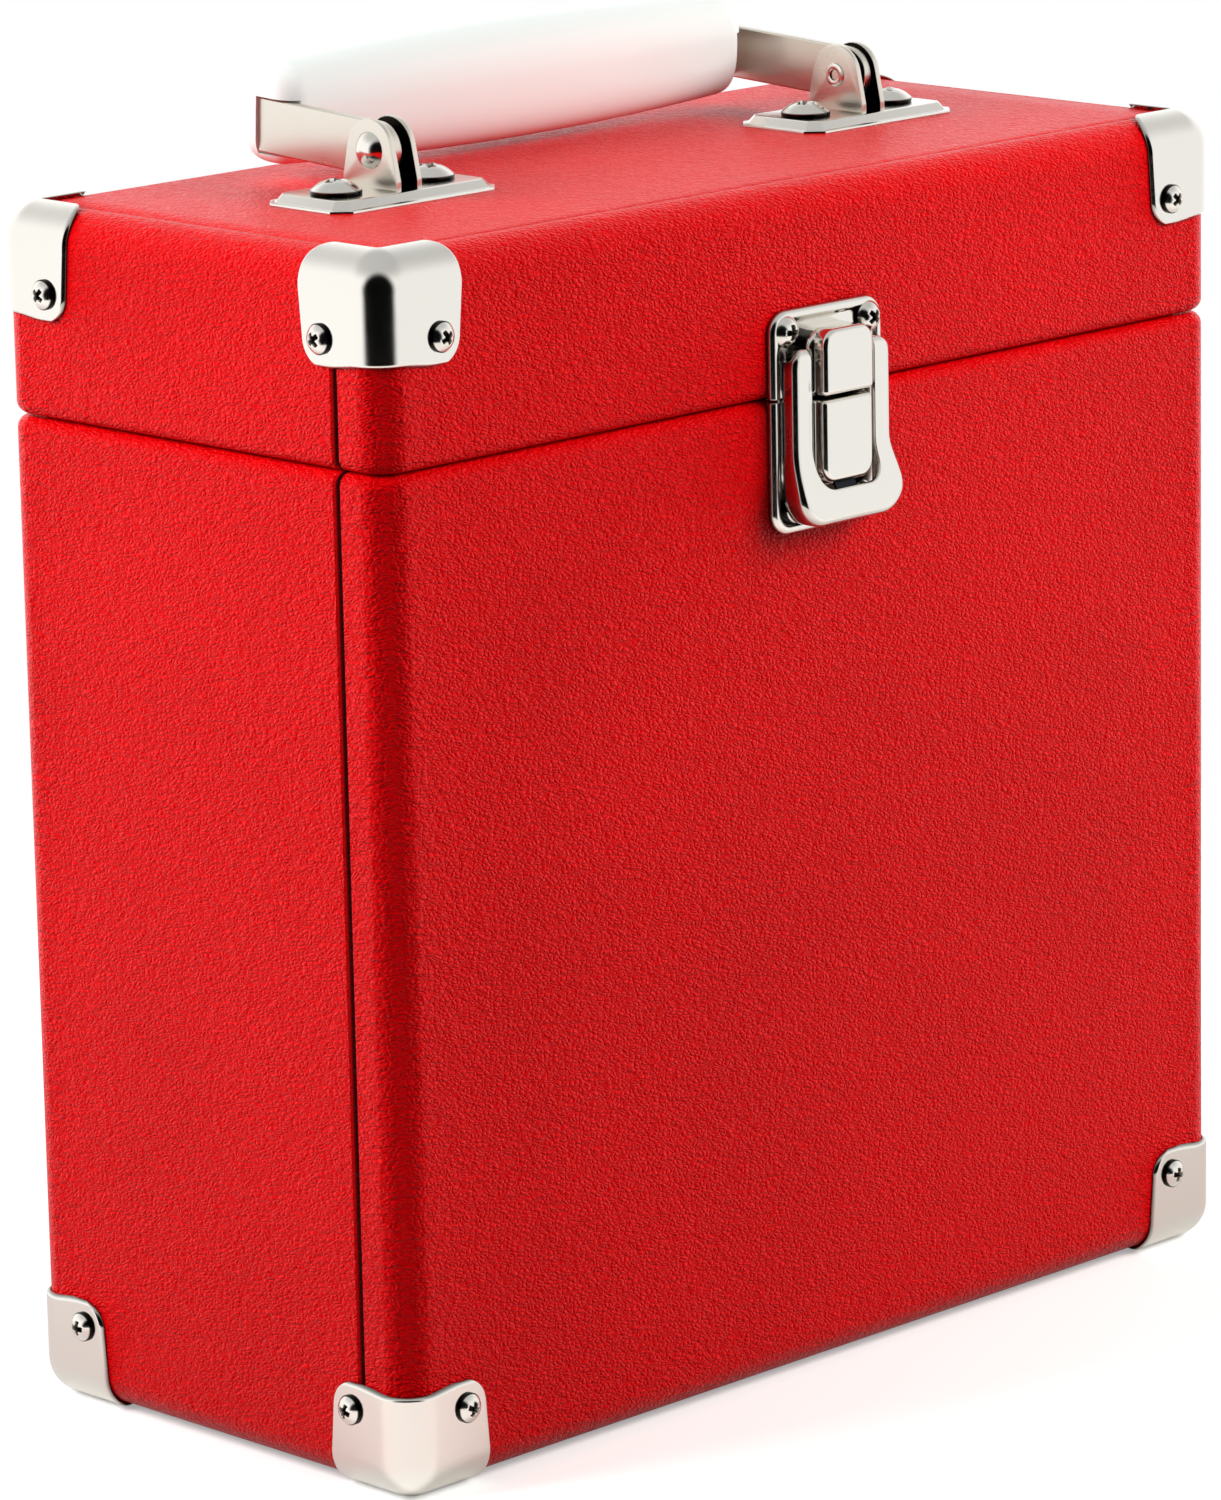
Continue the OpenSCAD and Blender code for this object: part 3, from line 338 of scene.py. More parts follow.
def wall_path(stops):
    """Plan of the wall through the given stretches, each a wall between two places or a corner between
    two angles. Returns the points of the plan shrunk by EDGE_R, the outward directions, and the length
    so far; a plan inset by e is centre + (EDGE_R - e) * outward."""
    centre, outward, length = [], [], []
    run = 0.0
    for kind, start, end in stops:
        facing = np.array(WALLS[kind], float)
        if kind.startswith("corner"):
            turn = np.radians(np.linspace(start, end, 13))
            out = np.stack([np.cos(turn), np.sin(turn)], axis=1)
            middle = np.tile(facing * (flat_x, flat_y), (len(turn), 1))
            steps = EDGE_R * (turn - turn[0])
        else:
            along = spaced(start, end, 2.5)
            out = np.tile(facing, (len(along), 1))
            middle = facing * (flat_x, flat_y) + along[:, None] * np.abs(facing[::-1])
            steps = np.abs(along - start)
        new = 1 if centre else 0
        centre.append(middle[new:])
        outward.append(out[new:])
        length.append(run + steps[new:])
        run += steps[-1]
    return np.concatenate(centre), np.concatenate(outward), np.concatenate(length)


lap_y = -HALF_D + FRONT_WRAP
under_y = lap_y - LAP_TUCK
FRONT_STOPS = [("left", lap_y, -flat_y), ("corner_lf", 180, 270), ("front", -flat_x, flat_x),
               ("corner_rf", 270, 360), ("right", -flat_y, lap_y)]
REAR_STOPS = [("right", under_y, flat_y), ("corner_rb", 0, 90), ("back", flat_x, -flat_x),
              ("corner_lb", 90, 180), ("left", flat_y, under_y)]
ROUND_STOPS = [("left", 0, -flat_y), *FRONT_STOPS[1:4], ("right", -flat_y, flat_y),
               *REAR_STOPS[1:4], ("left", flat_y, 0)]


def upright_profile(low, high):
    """Upright section of a cover from its rolled edge to the rim: a quarter circle of EDGE_R, a straight
    wall, a quarter circle of RIM_R, the rim, and a short fold inside. Returns inset, height and length."""
    quarter = np.radians(np.linspace(0, 90, 11))
    height = abs(high - low)
    wall = spaced(EDGE_R, height - RIM_R, 3.5)[1:-1]
    fold = np.array([(WALL - 0.3, 0), (WALL, 0.15), (WALL + 0.12, 0.5), (WALL + 0.12, 12.0)])
    inset = np.concatenate([
        EDGE_R * (1 - np.sin(quarter)), np.zeros(len(wall)), RIM_R * (1 - np.cos(quarter)), fold[:, 0]])
    rise = np.concatenate([
        EDGE_R * (1 - np.cos(quarter)), wall, height - RIM_R * (1 - np.sin(quarter)), height - fold[:, 1]])
    steps = np.hypot(np.diff(inset), np.diff(rise))
    return inset, low + np.sign(high - low) * rise, np.concatenate([[0], np.cumsum(steps)])


def cover_grid(stops, low, high, lap):
    """Skin round the given stretches of wall. At its free ends it sinks by GROOVE_DEPTH along a quarter
    wave, which makes the lapped joint. crease fades from each upright corner as exp(-distance / 4 mm), and
    is 2 on the floor of the joint, which the leatherette paints near black as shade."""
    centre, outward, length = wall_path(stops)
    inset, height, climb = upright_profile(low, high)
    ends = np.minimum(length, length[-1] - length)
    if lap == "over":
        sink = GROOVE_DEPTH * np.clip(1 - ends / 0.5, 0, 1) ** 2
    else:
        sink = GROOVE_DEPTH * (1 - np.clip((ends - LAP_TUCK - GROOVE_W) / 0.5, 0, 1) ** 0.5)
    on_wall = (inset < WALL - 0.5)[None, :]
    reach = EDGE_R - inset[None, :] - np.where(on_wall, sink[:, None], 0)
    place = np.zeros((len(length), len(inset), 3))
    place[..., :2] = centre[:, None, :] + outward[:, None, :] * reach[..., None]
    place[..., 1] += MID_Y
    place[..., 2] = height[None, :]
    uv = np.stack(np.broadcast_arrays(length[:, None], climb[None, :]), axis=-1)
    bent = np.minimum((1 - np.abs(outward).max(axis=1)) * 4, 1)
    away = np.abs(length[:, None] - length[bent > 0][None, :]).min(axis=1)
    crease = np.exp(-away / 4) * (1 - 0.75 * bent)
    # on the floor of the groove the value rises to 2, which paints the groove near black as shade
    if lap == "under":
        crease = np.maximum(crease, 2 * np.clip((LAP_TUCK + GROOVE_W + 0.3 - ends) / 0.3, 0, 1))
    crease = np.broadcast_to(crease[:, None], place.shape[:2])
    return {"place": place, "uv": uv, "crease": crease, "flip": high < low}


def finer_ends(stops, reach=2.4, count=24):
    """Same stretches, with the outer reach of both free ends cut in count, so that the lap is smooth."""
    (first, start, near), (last, far, end) = stops[0], stops[-1]
    head = start + reach * np.sign(near - start) * np.arange(count + 1) / count
    tail = end - reach * np.sign(end - far) * np.arange(count, -1, -1) / count
    return [*((first, a, b) for a, b in zip(head, head[1:])), (first, head[-1], near), *stops[1:-1],
            (last, far, tail[0]), *((last, a, b) for a, b in zip(tail, tail[1:]))]


def panel_grid(height, facing_up):
    """Flat field inside the rolled edges: rings of the plan, scaled evenly from 1 to 0 about the middle."""
    centre, _, _ = wall_path(ROUND_STOPS)
    scale = np.linspace(1, 0, 15)
    place = np.zeros((len(centre), len(scale), 3))
    place[..., :2] = centre[:, None, :] * scale[None, :, None]
    place[..., 1] += MID_Y
    place[..., 2] = height
    return {"place": place, "uv": place[..., :2].copy(), "flip": not facing_up}


def thicken(piece, thickness):
    """Gives a skin its sheet thickness on the inner side."""
    sheet = piece.modifiers.new("sheet", "SOLIDIFY")
    sheet.thickness = thickness * MM
    sheet.offset = -1


# leatherette: plasticised PVC, calendered and embossed with a crepe grain of slanting cells, parted
# by fine creases, and wrinkled across wherever it is rolled over an edge; the creases between cells
# are painted a darker red as shade, and the floor of the lapped joint is painted near black as shade
CELL_LONG_MM, CELL_SHORT_MM = 1.25, 0.62
cells = (1 / (CELL_LONG_MM * MM), 1 / (CELL_LONG_MM * MM), 1 / (CELL_SHORT_MM * MM))
slant = (0.2, -0.22, 0.5)
leatherette, add = new_material("red_leatherette")
spot = add("TexCoord").outputs["Object"]
drift = add("TexNoise", {"Vector": spot, "Scale": 500, "Detail": 3}).outputs["Color"]
drift = add("VectorMath", {0: drift, 1: (-0.5, -0.5, -0.5)}, operation="ADD")
drift = add("VectorMath", {0: drift, "Scale": 0.0009}, operation="SCALE")
warped = add("VectorMath", {0: spot, 1: drift}, operation="ADD")
leaning = add("Mapping", {"Vector": warped, "Rotation": slant})
celled = add("Mapping", {"Vector": leaning, "Scale": cells})
parting = add("TexVoronoi", {"Vector": celled, "Scale": 1.0}, feature="DISTANCE_TO_EDGE")
plateau = add("MapRange", {"Value": parting, "From Max": 0.3}, interpolation_type="SMOOTHSTEP")
level = add("Mapping", {"Vector": leaning, "Scale": (0.4, 0.4, 1.0)})
fold = add("TexNoise", {"Vector": level, "Scale": 1050, "Detail": 2, "Roughness": 0.55})
grain = add("Math", {0: plateau, 1: 0.4, 2: fold}, operation="MULTIPLY_ADD")
# crease value: wrinkle strength up to 1; from 1 to 2 it paints the groove floor dark as shade
roll = add("Attribute", attribute_name="crease").outputs["Fac"]
lie = add("UVMap", uv_map="surface_mm")
lie = add("Mapping", {"Vector": lie, "Scale": (300, 1050, 1)})
tight = add("TexNoise", {"Vector": lie, "Scale": 1.0, "Detail": 3, "Distortion": 0.5})
tight = add("Math", {0: tight, 1: roll}, operation="MULTIPLY")
relief = add("Math", {0: tight, 1: 2.2, 2: grain}, operation="MULTIPLY_ADD")
bump = add("Bump", {"Height": relief, "Strength": 0.8, "Distance": 0.0006})
# colour: the creases between cells are painted a darker red as shade, over a slow random tone
cloud = add("TexNoise", {"Vector": spot, "Scale": 16, "Detail": 2})
shade = add("Math", {0: grain, 1: 0.5, 2: cloud}, operation="MULTIPLY_ADD")
red = add("ValToRGB", {"Fac": shade}, ((0.45, "#D40006"), (0.95, "#EA040C")))
wear = add("MapRange", {"Value": grain, "From Max": 1.3, "To Min": 0.44, "To Max": 0.32})
# painted shade: the groove floor, where the crease value runs from 1 to 2, turns near black
joint = add("MapRange", {"Value": roll, "From Min": 1.0, "From Max": 2.0})
coat = add("Mix", {0: joint, 6: red, 7: hex_colour("#1C0203")}, data_type="RGBA").outputs[2]
shader = add(
    "BsdfPrincipled",
    {"Base Color": coat, "Roughness": wear, "IOR": 1.42,
     "Specular Tint": hex_colour("#FF3C36"), "Normal": bump},
)
add("OutputMaterial", {"Surface": shader})

for part, body, edge_z, rim_z in (
    ("body", "case_body", FLOOR_Z, BODY_RIM_Z), ("lid", "lid", TOP_Z, LID_RIM_Z)
):
    folded = [cover_grid(finer_ends(FRONT_STOPS), edge_z, rim_z, "over")]
    wrapped = [cover_grid(finer_ends(REAR_STOPS), edge_z, rim_z, "under"), panel_grid(edge_z, part == "lid")]
    for kind, grids, cad_name, slot in (
        ("front", folded, f"{part}_front_cover", "front_leatherette"),
        ("main", wrapped, f"{part}_cover", "leatherette"),
    ):
        thicken(place_piece(f"{part}_{kind}_skin", grids, body, leatherette, cad_name), SKIN)

# ---------------------------------------------------------------- corner brackets
# Pressed from 0.9 mm steel and bright nickel plated. Each wraps one corner of the case, flares
# where it turns over the edge, ends in a lobe round each screw, and its margins are rolled down.

SHEET = 0.9
FLAP_W = 18.0
FLAP_FLARE = 0.7
TOP_ROUND = 7.5
LOBE_R = 4.8
SCREW_IN = FLAP_W - LOBE_R
SCREW_DROP = 14.3
FLAP_DIP = 0.7
TOP_LIP, FOOT_LIP = 5.7, 9.0
TOP_BITE = 4.3
LIP_FADE = 6.0
MARGIN_ROLL, EDGE_SHADE_W = 0.65, 0.4
SHELL, SHELL_EDGE = 0.85, 0.22


def bracket_grid(lip):
    """Outer face of a bracket for the corner at the origin, case towards +X +Y +Z. t is the length
    from the end of the lip, over the edge and down the wall to the lobes; s is the length from the
    middle of the corner to the side margin. The margin is FLAP_W plus a flare, ends below in a circle
    round the screw and above in a quarter circle of TOP_ROUND. Plan turns by s / r about the corner,
    upright section by t / r about the edge, and the last MARGIN_ROLL of every margin bends inward."""
    r = EDGE_R + SHEET
    arc = r * math.pi / 2
    widest = math.pi / 2 * 0.92
    across = np.sin(np.linspace(-1, 1, 81) * widest)[:, None] / math.sin(widest)
    rise = (1 - np.cos(np.linspace(0, 1, 61) * math.pi))[None, :] / 2
    spread = np.abs(across)
    top_t = r * math.asin(max(1 - (lip + SHEET) / r, 0)) - max(lip - EDGE_R, 0)
    half_arc = arc / 2
    reach = SCREW_IN - EDGE_R
    between = np.clip((spread * (half_arc + reach) - half_arc * 0.6) / reach, 0, 1)
    dip = FLAP_DIP * (1 - between * between * (3 - 2 * between))
    low_t = arc + SCREW_DROP + LOBE_R - EDGE_R - dip
    t = low_t + (top_t - low_t) * rise
    drop = t - arc + EDGE_R
    rest = np.clip(drop + dip - SCREW_DROP, 0, LOBE_R)
    lobe = np.sqrt(np.maximum(LOBE_R**2 - rest**2, 0)) - LOBE_R
    flare = FLAP_FLARE * np.clip((SCREW_DROP - drop) / (SCREW_DROP - EDGE_R), 0, 1)
    corner = np.clip(1 - (t - top_t) / TOP_ROUND, 0, 1)
    corner = TOP_BITE * (1 - np.sqrt(1 - corner**2))
    margin_s = half_arc + FLAP_W - EDGE_R + flare + lobe - corner
    s = across * margin_s
    bend = np.clip(s / half_arc, -1, 1) * math.pi / 4
    straight = np.sign(s) * np.maximum(np.abs(s) - half_arc, 0)
    turn = np.clip(t / r, 0, math.pi / 2)
    edge = np.minimum((1 - spread) * margin_s, np.minimum(low_t - t, t - top_t))
    upright = np.clip(t / arc, 0, 1)
    roll = (0.2 + 0.5 * upright) * np.clip(1 - edge / MARGIN_ROLL, 0, 1) ** 2
    heading = bend + math.radians(225)
    out = (r - roll) * np.sin(turn)
    over = np.maximum(-t, 0)
    share = np.clip(1 - np.abs(straight) / LIP_FADE, 0, 1)
    x = EDGE_R + np.maximum(straight, 0) + np.cos(heading) * out + over * np.where(straight > 0, share, 1)
    y = EDGE_R + np.maximum(-straight, 0) + np.sin(heading) * out + over * np.where(straight < 0, share, 1)
    z = np.where(t > arc, EDGE_R + t - arc, r - (r - roll) * np.cos(turn) - SHEET)
    # painted shade: a dark line along every margin of the bracket, stronger down the upright flaps
    painted_shade = (0.45 + 0.4 * upright) * np.clip(1 - edge / EDGE_SHADE_W, 0, 1)
    line = (straight == 0) & (t <= 0)
    skip = line[:-1, :-1] & line[1:, :-1] & line[1:, 1:] & line[:-1, 1:]
    return np.stack(np.broadcast_arrays(x, y, z), axis=-1), painted_shade, skip


def corner_copies(place, painted_shade, skip, on_lid):
    """The bracket at the four corners: mirrored by the signs of x, y and z, faces turned as needed."""
    sz, z = (-1, TOP_Z) if on_lid else (1, FLOOR_Z)
    for sx in (-1, 1):
        for sy in (-1, 1):
            moved = place * (-sx, -sy, sz) + (sx * HALF_W, MID_Y + sy * HALF_D, z)
            name = ("back_" if sy > 0 else "front_") + ("right" if sx > 0 else "left")
            yield name, {"place": moved, "crease": painted_shade, "skip": skip, "flip": sx * sy * sz > 0}


# nickel plate: electroplated bright nickel on polished steel, warmer than chrome, with faint
# polishing waves and a few pits; where the crease value is high the plate is painted near black as shade
nickel, add = new_material("bright_nickel_plate")
spot = add("TexCoord").outputs["Object"]
haze = add("TexNoise", {"Vector": spot, "Scale": 140, "Detail": 3})
fine = add("TexNoise", {"Vector": spot, "Scale": 2600, "Detail": 2})
polish = add("MapRange", {"Value": haze, "To Min": 0.1, "To Max": 0.2})
pits = add("Math", {0: fine, 1: 0.12, 2: haze}, operation="MULTIPLY_ADD")
ripple = add("Bump", {"Height": pits, "Strength": 0.12, "Distance": 0.0003})
recess = add("Attribute", attribute_name="crease").outputs["Fac"]
# painted shade: the plate colour runs to near black as the crease value rises to 1
plate = add("ValToRGB", {"Fac": recess}, ((0.0, "#E5E0D8"), (1.0, "#16130F")))
metal = {"Base Color": plate, "Metallic": 1.0, "Roughness": polish, "Normal": ripple}
shader = add("BsdfPrincipled", metal)
add("OutputMaterial", {"Surface": shader})


def round_edges(piece, width, segments, above):
    """Rounds every edge that turns by more than so many degrees."""
    bevel = piece.modifiers.new("edge", "BEVEL")
    bevel.width = width * MM
    bevel.segments = segments
    bevel.limit_method = "ANGLE"
    bevel.angle_limit = math.radians(above)


for part, on_lid, lip, body in (("lid", True, TOP_LIP, "lid"), ("body", False, FOOT_LIP, "case_body")):
    for corner, grid in corner_copies(*bracket_grid(lip), on_lid):
        node = f"{part}_bracket_{corner}"
        shell = place_piece(node + "_shell", [grid], body, nickel, node)
        thicken(shell, SHELL)
        round_edges(shell, SHELL_EDGE, 2, 55)

# ---------------------------------------------------------------- screws
# Domed cross-slot wood screws, turned and nickel plated. Two hold each corner bracket, two each
# plate of the latch and each leaf of the hinges; larger ones hold the handle plates. They were
# driven by hand, so the slots stand at chance angles.


def set_in(points, origin, across, out):
    """Local points to the row frame: origin + x * across + y * (out x across) + z * out, in mm."""
    across, out = np.asarray(across, float), np.asarray(out, float)
    up = np.cross(out, across)
    return np.asarray(origin) + points[..., :1] * across + points[..., 1:2] * up + points[..., 2:3] * out


def turned(profile, sides):
    """Surface of revolution about Z of a profile of (radius, height) pairs: (r cos a, r sin a, z)."""
    profile = np.asarray(profile, float)
    angle = np.linspace(0, 2 * math.pi, sides, endpoint=False)[:, None]
    radius, height = profile[None, :, 0], profile[None, :, 1]
    return np.stack(np.broadcast_arrays(radius * np.cos(angle), radius * np.sin(angle), height), axis=-1)


def screw_grid(head_d, head_h, shank_d, shank_l, turn):
    """A screw on z = 0, shank down. The head is a sphere cap above a short rim with a rounded foot; the
    slot is two crossing bars, each the product of two soft steps, with sloping ends. The second result
    paints the foot of the rim and the slot dark as shade."""
    half, rim = head_d / 2, 0.25 * head_h
    dome_h = head_h - rim
    ball = (half**2 + dome_h**2) / (2 * dome_h)
    radii = half * np.sin(np.linspace(1, 0, 25) * math.pi / 2)
    dome = [(r, head_h - ball + math.sqrt(ball**2 - r * r)) for r in radii]
    stem = [(0, -shank_l), (shank_d / 2, -shank_l), (shank_d / 2, 0), (half - 0.15, 0), (half, 0.12)]
    place = turned(stem + [(half, rim * 0.7)] + dome, 60)
    x = place[..., 0] * math.cos(turn) - place[..., 1] * math.sin(turn)
    y = place[..., 0] * math.sin(turn) + place[..., 1] * math.cos(turn)
    slot_w, slot_l, soft = 0.07 * head_d, 0.25 * head_d, 0.022 * head_d
    bars = [
        np.clip((slot_w - np.abs(b)) / soft + 0.5, 0, 1) * np.clip((slot_l - np.abs(a)) / (3 * soft), 0, 1)
        for a, b in ((x, y), (y, x))
    ]
    slot = np.where(place[..., 2] > rim, np.maximum(*bars), 0)
    # painted shade: the foot of the rim and the slot are marked dark
    low = np.clip(1 + (min(rim + 0.095 * head_h, 0.62) - place[..., 2]) / 0.15, 0, 1)
    place[..., 2] -= 0.55 * head_h * slot
    return place, np.maximum(low, slot)


SMALL_HEAD = (5.3, 1.8, 2.2)  # diameter and height of the head, diameter of the shank
HINGE_HEAD = (5.3, 1.0, 2.2)
LATCH_HEAD = (5.6, 2.4, 2.2)
LARGE_HEAD = (9.0, 2.6, 3.0)
SHANK_L = 5.2
HANDLE_Y = MID_Y + 0.3
HANDLE_X = 58.2
HINGE_X = 60.0
front = ((1, 0, 0), (0, -1, 0))
back = ((-1, 0, 0), (0, 1, 0))
left = ((0, -1, 0), (-1, 0, 0))
right = ((0, 1, 0), (1, 0, 0))
top = ((1, 0, 0), (0, 0, 1))
flap_x, flap_y = HALF_W - SCREW_IN, HALF_D - SCREW_IN
pairs = [(s, t) for s in (-1, 1) for t in (-1, 1)]

screw_sets = []
for part, body, z in (("body", "case_body", FLOOR_Z + SCREW_DROP), ("lid", "lid", TOP_Z - SCREW_DROP)):
    spots = []
    for s in (-1, 1):
        y = MID_Y + s * flap_y
        spots += [((s * flap_x, FRONT_Y - SHEET, z), front), ((s * flap_x, BACK_Y + SHEET, z), back),
                  ((-HALF_W - SHEET, y, z), left), ((HALF_W + SHEET, y, z), right)]
    screw_sets.append((f"{part}_bracket_screws", body, SMALL_HEAD, SHANK_L, spots))
for part, body, head, x, up in (
    ("lid", "lid", LATCH_HEAD, 10.3, 11.8), ("body", "case_body", SMALL_HEAD, 8.45, -19.45)
):
    spots = [((s * x, FRONT_Y - 0.8, SEAM_Z + up), front) for s in (-1, 1)]
    screw_sets.append((f"latch_{part}_screws", body, head, SHANK_L, spots))
spots = [((s * HANDLE_X + t * 10.9, HANDLE_Y, TOP_Z + 1.9), top) for s, t in pairs]
screw_sets.append(("handle_plate_screws", "lid", LARGE_HEAD, 6.3, spots))
for part, body, up in (("body", "case_body", -11.35), ("lid", "lid", 11.35)):
    spots = [((s * HINGE_X + t * 9.35, BACK_Y + 0.9, SEAM_Z + up), back) for s, t in pairs]
    screw_sets.append((f"hinge_{part}_screws", body, HINGE_HEAD, 5.3, spots))

for count, (name, body, head, length, spots) in enumerate(screw_sets):
    grids = []
    for i, (origin, way) in enumerate(spots):
        turn = 0.4 + 2.3 * (i + 3 * count)  # radians, so that no two neighbours match
        place, painted_shade = screw_grid(*head, length - 0.1, turn)
        grids.append({"place": set_in(place, origin, *way), "closed": True, "crease": painted_shade})
    place_piece(name + "_heads", grids, body, nickel, name)

# ---------------------------------------------------------------- latch
# A sprung draw hasp, pressed from 0.8 mm steel and nickel plated. Two dished plates with a rolled
# rim meet at the seam. The lid plate carries a hollow hinge housing, the body plate a keeper of
# the same width, and the hasp straddles both: two arms on a pin, joined below by a thumb bill.


def ring(corners, radii, inset, steps, moves):
    """Convex outline, counter-clockwise, with rounded corners, every edge moved in by inset times its
    move. Corner i: centre at rho + inset inside both its edges, rho = radius - inset, at least 0.12."""
    corner = np.asarray(corners, float)
    edge = np.roll(corner, -1, axis=0) - corner
    edge /= np.linalg.norm(edge, axis=1)[:, None]
    after = np.stack([edge[:, 1], -edge[:, 0]], axis=1)
    before = np.roll(after, 1, axis=0)
    moves = np.ones(len(corner)) if moves is None else np.asarray(moves, float)
    rho = np.maximum(np.asarray(radii, float) - inset, 0.12)
    deep = np.stack([rho + inset * np.roll(moves, 1), rho + inset * moves], axis=1)
    centre = corner - np.linalg.solve(np.stack([before, after], axis=1), deep[..., None])[..., 0]
    first = np.arctan2(before[:, 1], before[:, 0])
    swing = (np.arctan2(after[:, 1], after[:, 0]) - first) % (2 * math.pi)
    angle = first[:, None] + swing[:, None] * np.linspace(0, 1, steps + 1)
    arc = np.stack([np.cos(angle), np.sin(angle)], axis=-1) * rho[:, None, None]
    return (centre[:, None, :] + arc).reshape(-1, 2)


def carried(corners, radii, profile, steps=6, moves=None):
    """Profile of (inset, height) pairs carried along the outline: ring(inset) at that height."""
    flat = np.stack([ring(corners, radii, inset, steps, moves) for inset, _ in profile], axis=1)
    height = np.broadcast_to([[z] for _, z in profile], (*flat.shape[:2], 1))
    return np.concatenate([flat, height], axis=-1)


def rounded(x, z, radius, start, end, steps=5):
    """Quarter circle for a profile: (x + radius (1 - cos a), z + radius sin a), a in degrees."""
    a = np.radians(np.linspace(start, end, steps + 1))
    return list(zip(x + radius * (1 - np.cos(a)), z + radius * np.sin(a)))


LATCH_HALF_W = 14.0
LATCH_UP, LATCH_DOWN = 15.5, 23.9
SPLIT = 0.3
BLOCK_HALF_W = 6.2
HOUSING_TOP, HOUSING_OUT = 11.9, 6.7
KEEPER_FOOT, KEEPER_OUT = 15.1, 6.4
PIN_UP, PIN_OUT, KNUCKLE_R = 6.9, 3.0, 2.05
PLATE_T, BLOCK_ROLL = 0.8, 1.1
latch_at = ((0, FRONT_Y, SEAM_Z), (1, 0, 0), (0, -1, 0))


def upright_oblong(side, half_w, near, far):
    """Corners of an oblong above the seam (side 1) or below it (side -1), counter-clockwise."""
    return side * np.array([(half_w, near), (half_w, far), (-half_w, far), (-half_w, near)])


def solid(place, **more):
    """Grid of a closed block: rings of points, filled at both ends."""
    return {"place": place, "closed": True, "caps": ["first", "last"], **more}


rim = [(0, 0.05), (0, 0.35)] + rounded(0, 0.35, 1.2, 8, 100, 14)
rim += [(1.75, 1.3), (2.0, 1.0), (2.25, 0.85), (2.6, PLATE_T)]
for side, part, body, far in ((1, "lid", "lid", LATCH_UP), (-1, "body", "case_body", LATCH_DOWN)):
    corners = upright_oblong(side, LATCH_HALF_W, SPLIT, far)
    plate = carried(corners, (0.12, 4, 4, 0.12), rim, 10, (1, 1, 1, 0))
    # painted shade: the outer wall and slope of the rolled rim are darkened, fading inward
    painted_shade = np.broadcast_to(0.8 * np.clip(1 - np.arange(len(rim)) / 7, 0, 1), plate.shape[:2])
    name = f"latch_{part}_plate"
    dish = {"place": set_in(plate, *latch_at), "caps": ["last"], "crease": painted_shade}
    thicken(place_piece(name + "_dish", [dish], body, nickel, name), 0.6)

# each block stands in a low pressed step; the step's sides, its first two columns, are painted dark as shade
for side, body, piece, node, far, out, step_w, step_far, step_r, step_out, step_roll in (
    (1, "lid", "latch_housing_block", "latch_hinge_housing",
     HOUSING_TOP, HOUSING_OUT, 7.1, HOUSING_TOP - 0.3, 3.2, 2.8, 1.5),
    (-1, "case_body", "latch_keeper_block", "latch_keeper",
     KEEPER_FOOT, KEEPER_OUT, 6.9, KEEPER_FOOT + 0.6, 3.4, 3.5, 0.8),
):
    near = SPLIT + 0.05
    block = carried(
        upright_oblong(side, BLOCK_HALF_W, near, far), (0.9, 2.9, 2.9, 0.9),
        [(0, PLATE_T)] + rounded(0, out - BLOCK_ROLL, BLOCK_ROLL, 0, 90), 8)
    step = carried(
        upright_oblong(side, step_w, near, step_far), (0.3, step_r, step_r, 0.3),
        [(0, PLATE_T), (0, step_out)] + rounded(0, step_out, step_roll, 10, 90), 8)
    painted_shade = np.zeros(step.shape[:2])
    painted_shade[:, :2] = 0.9
    grids = [solid(set_in(block, *latch_at)), solid(set_in(step, *latch_at), crease=painted_shade)]
    place_piece(piece, grids, body, nickel, node)


ARM_HALF_W, ARM_INNER = 12.2, 7.8
BILL_HALF_W, BILL_FOOT, BILL_OUT, BILL_BACK = 13.0, 22.2, 7.8, 3.0
BOW_TOP, BOW_FOOT = 8.5, 19.0
WINDOW_FOOT, WINDOW_ROUND, BILL_ROUND = 16.0, 3.6, 5.5
ARM_OUT = PIN_OUT + KNUCKLE_R


def smooth(value):
    """3 v^2 - 2 v^3 of the value held between 0 and 1."""
    value = np.clip(value, 0, 1)
    return value * value * (3 - 2 * value)


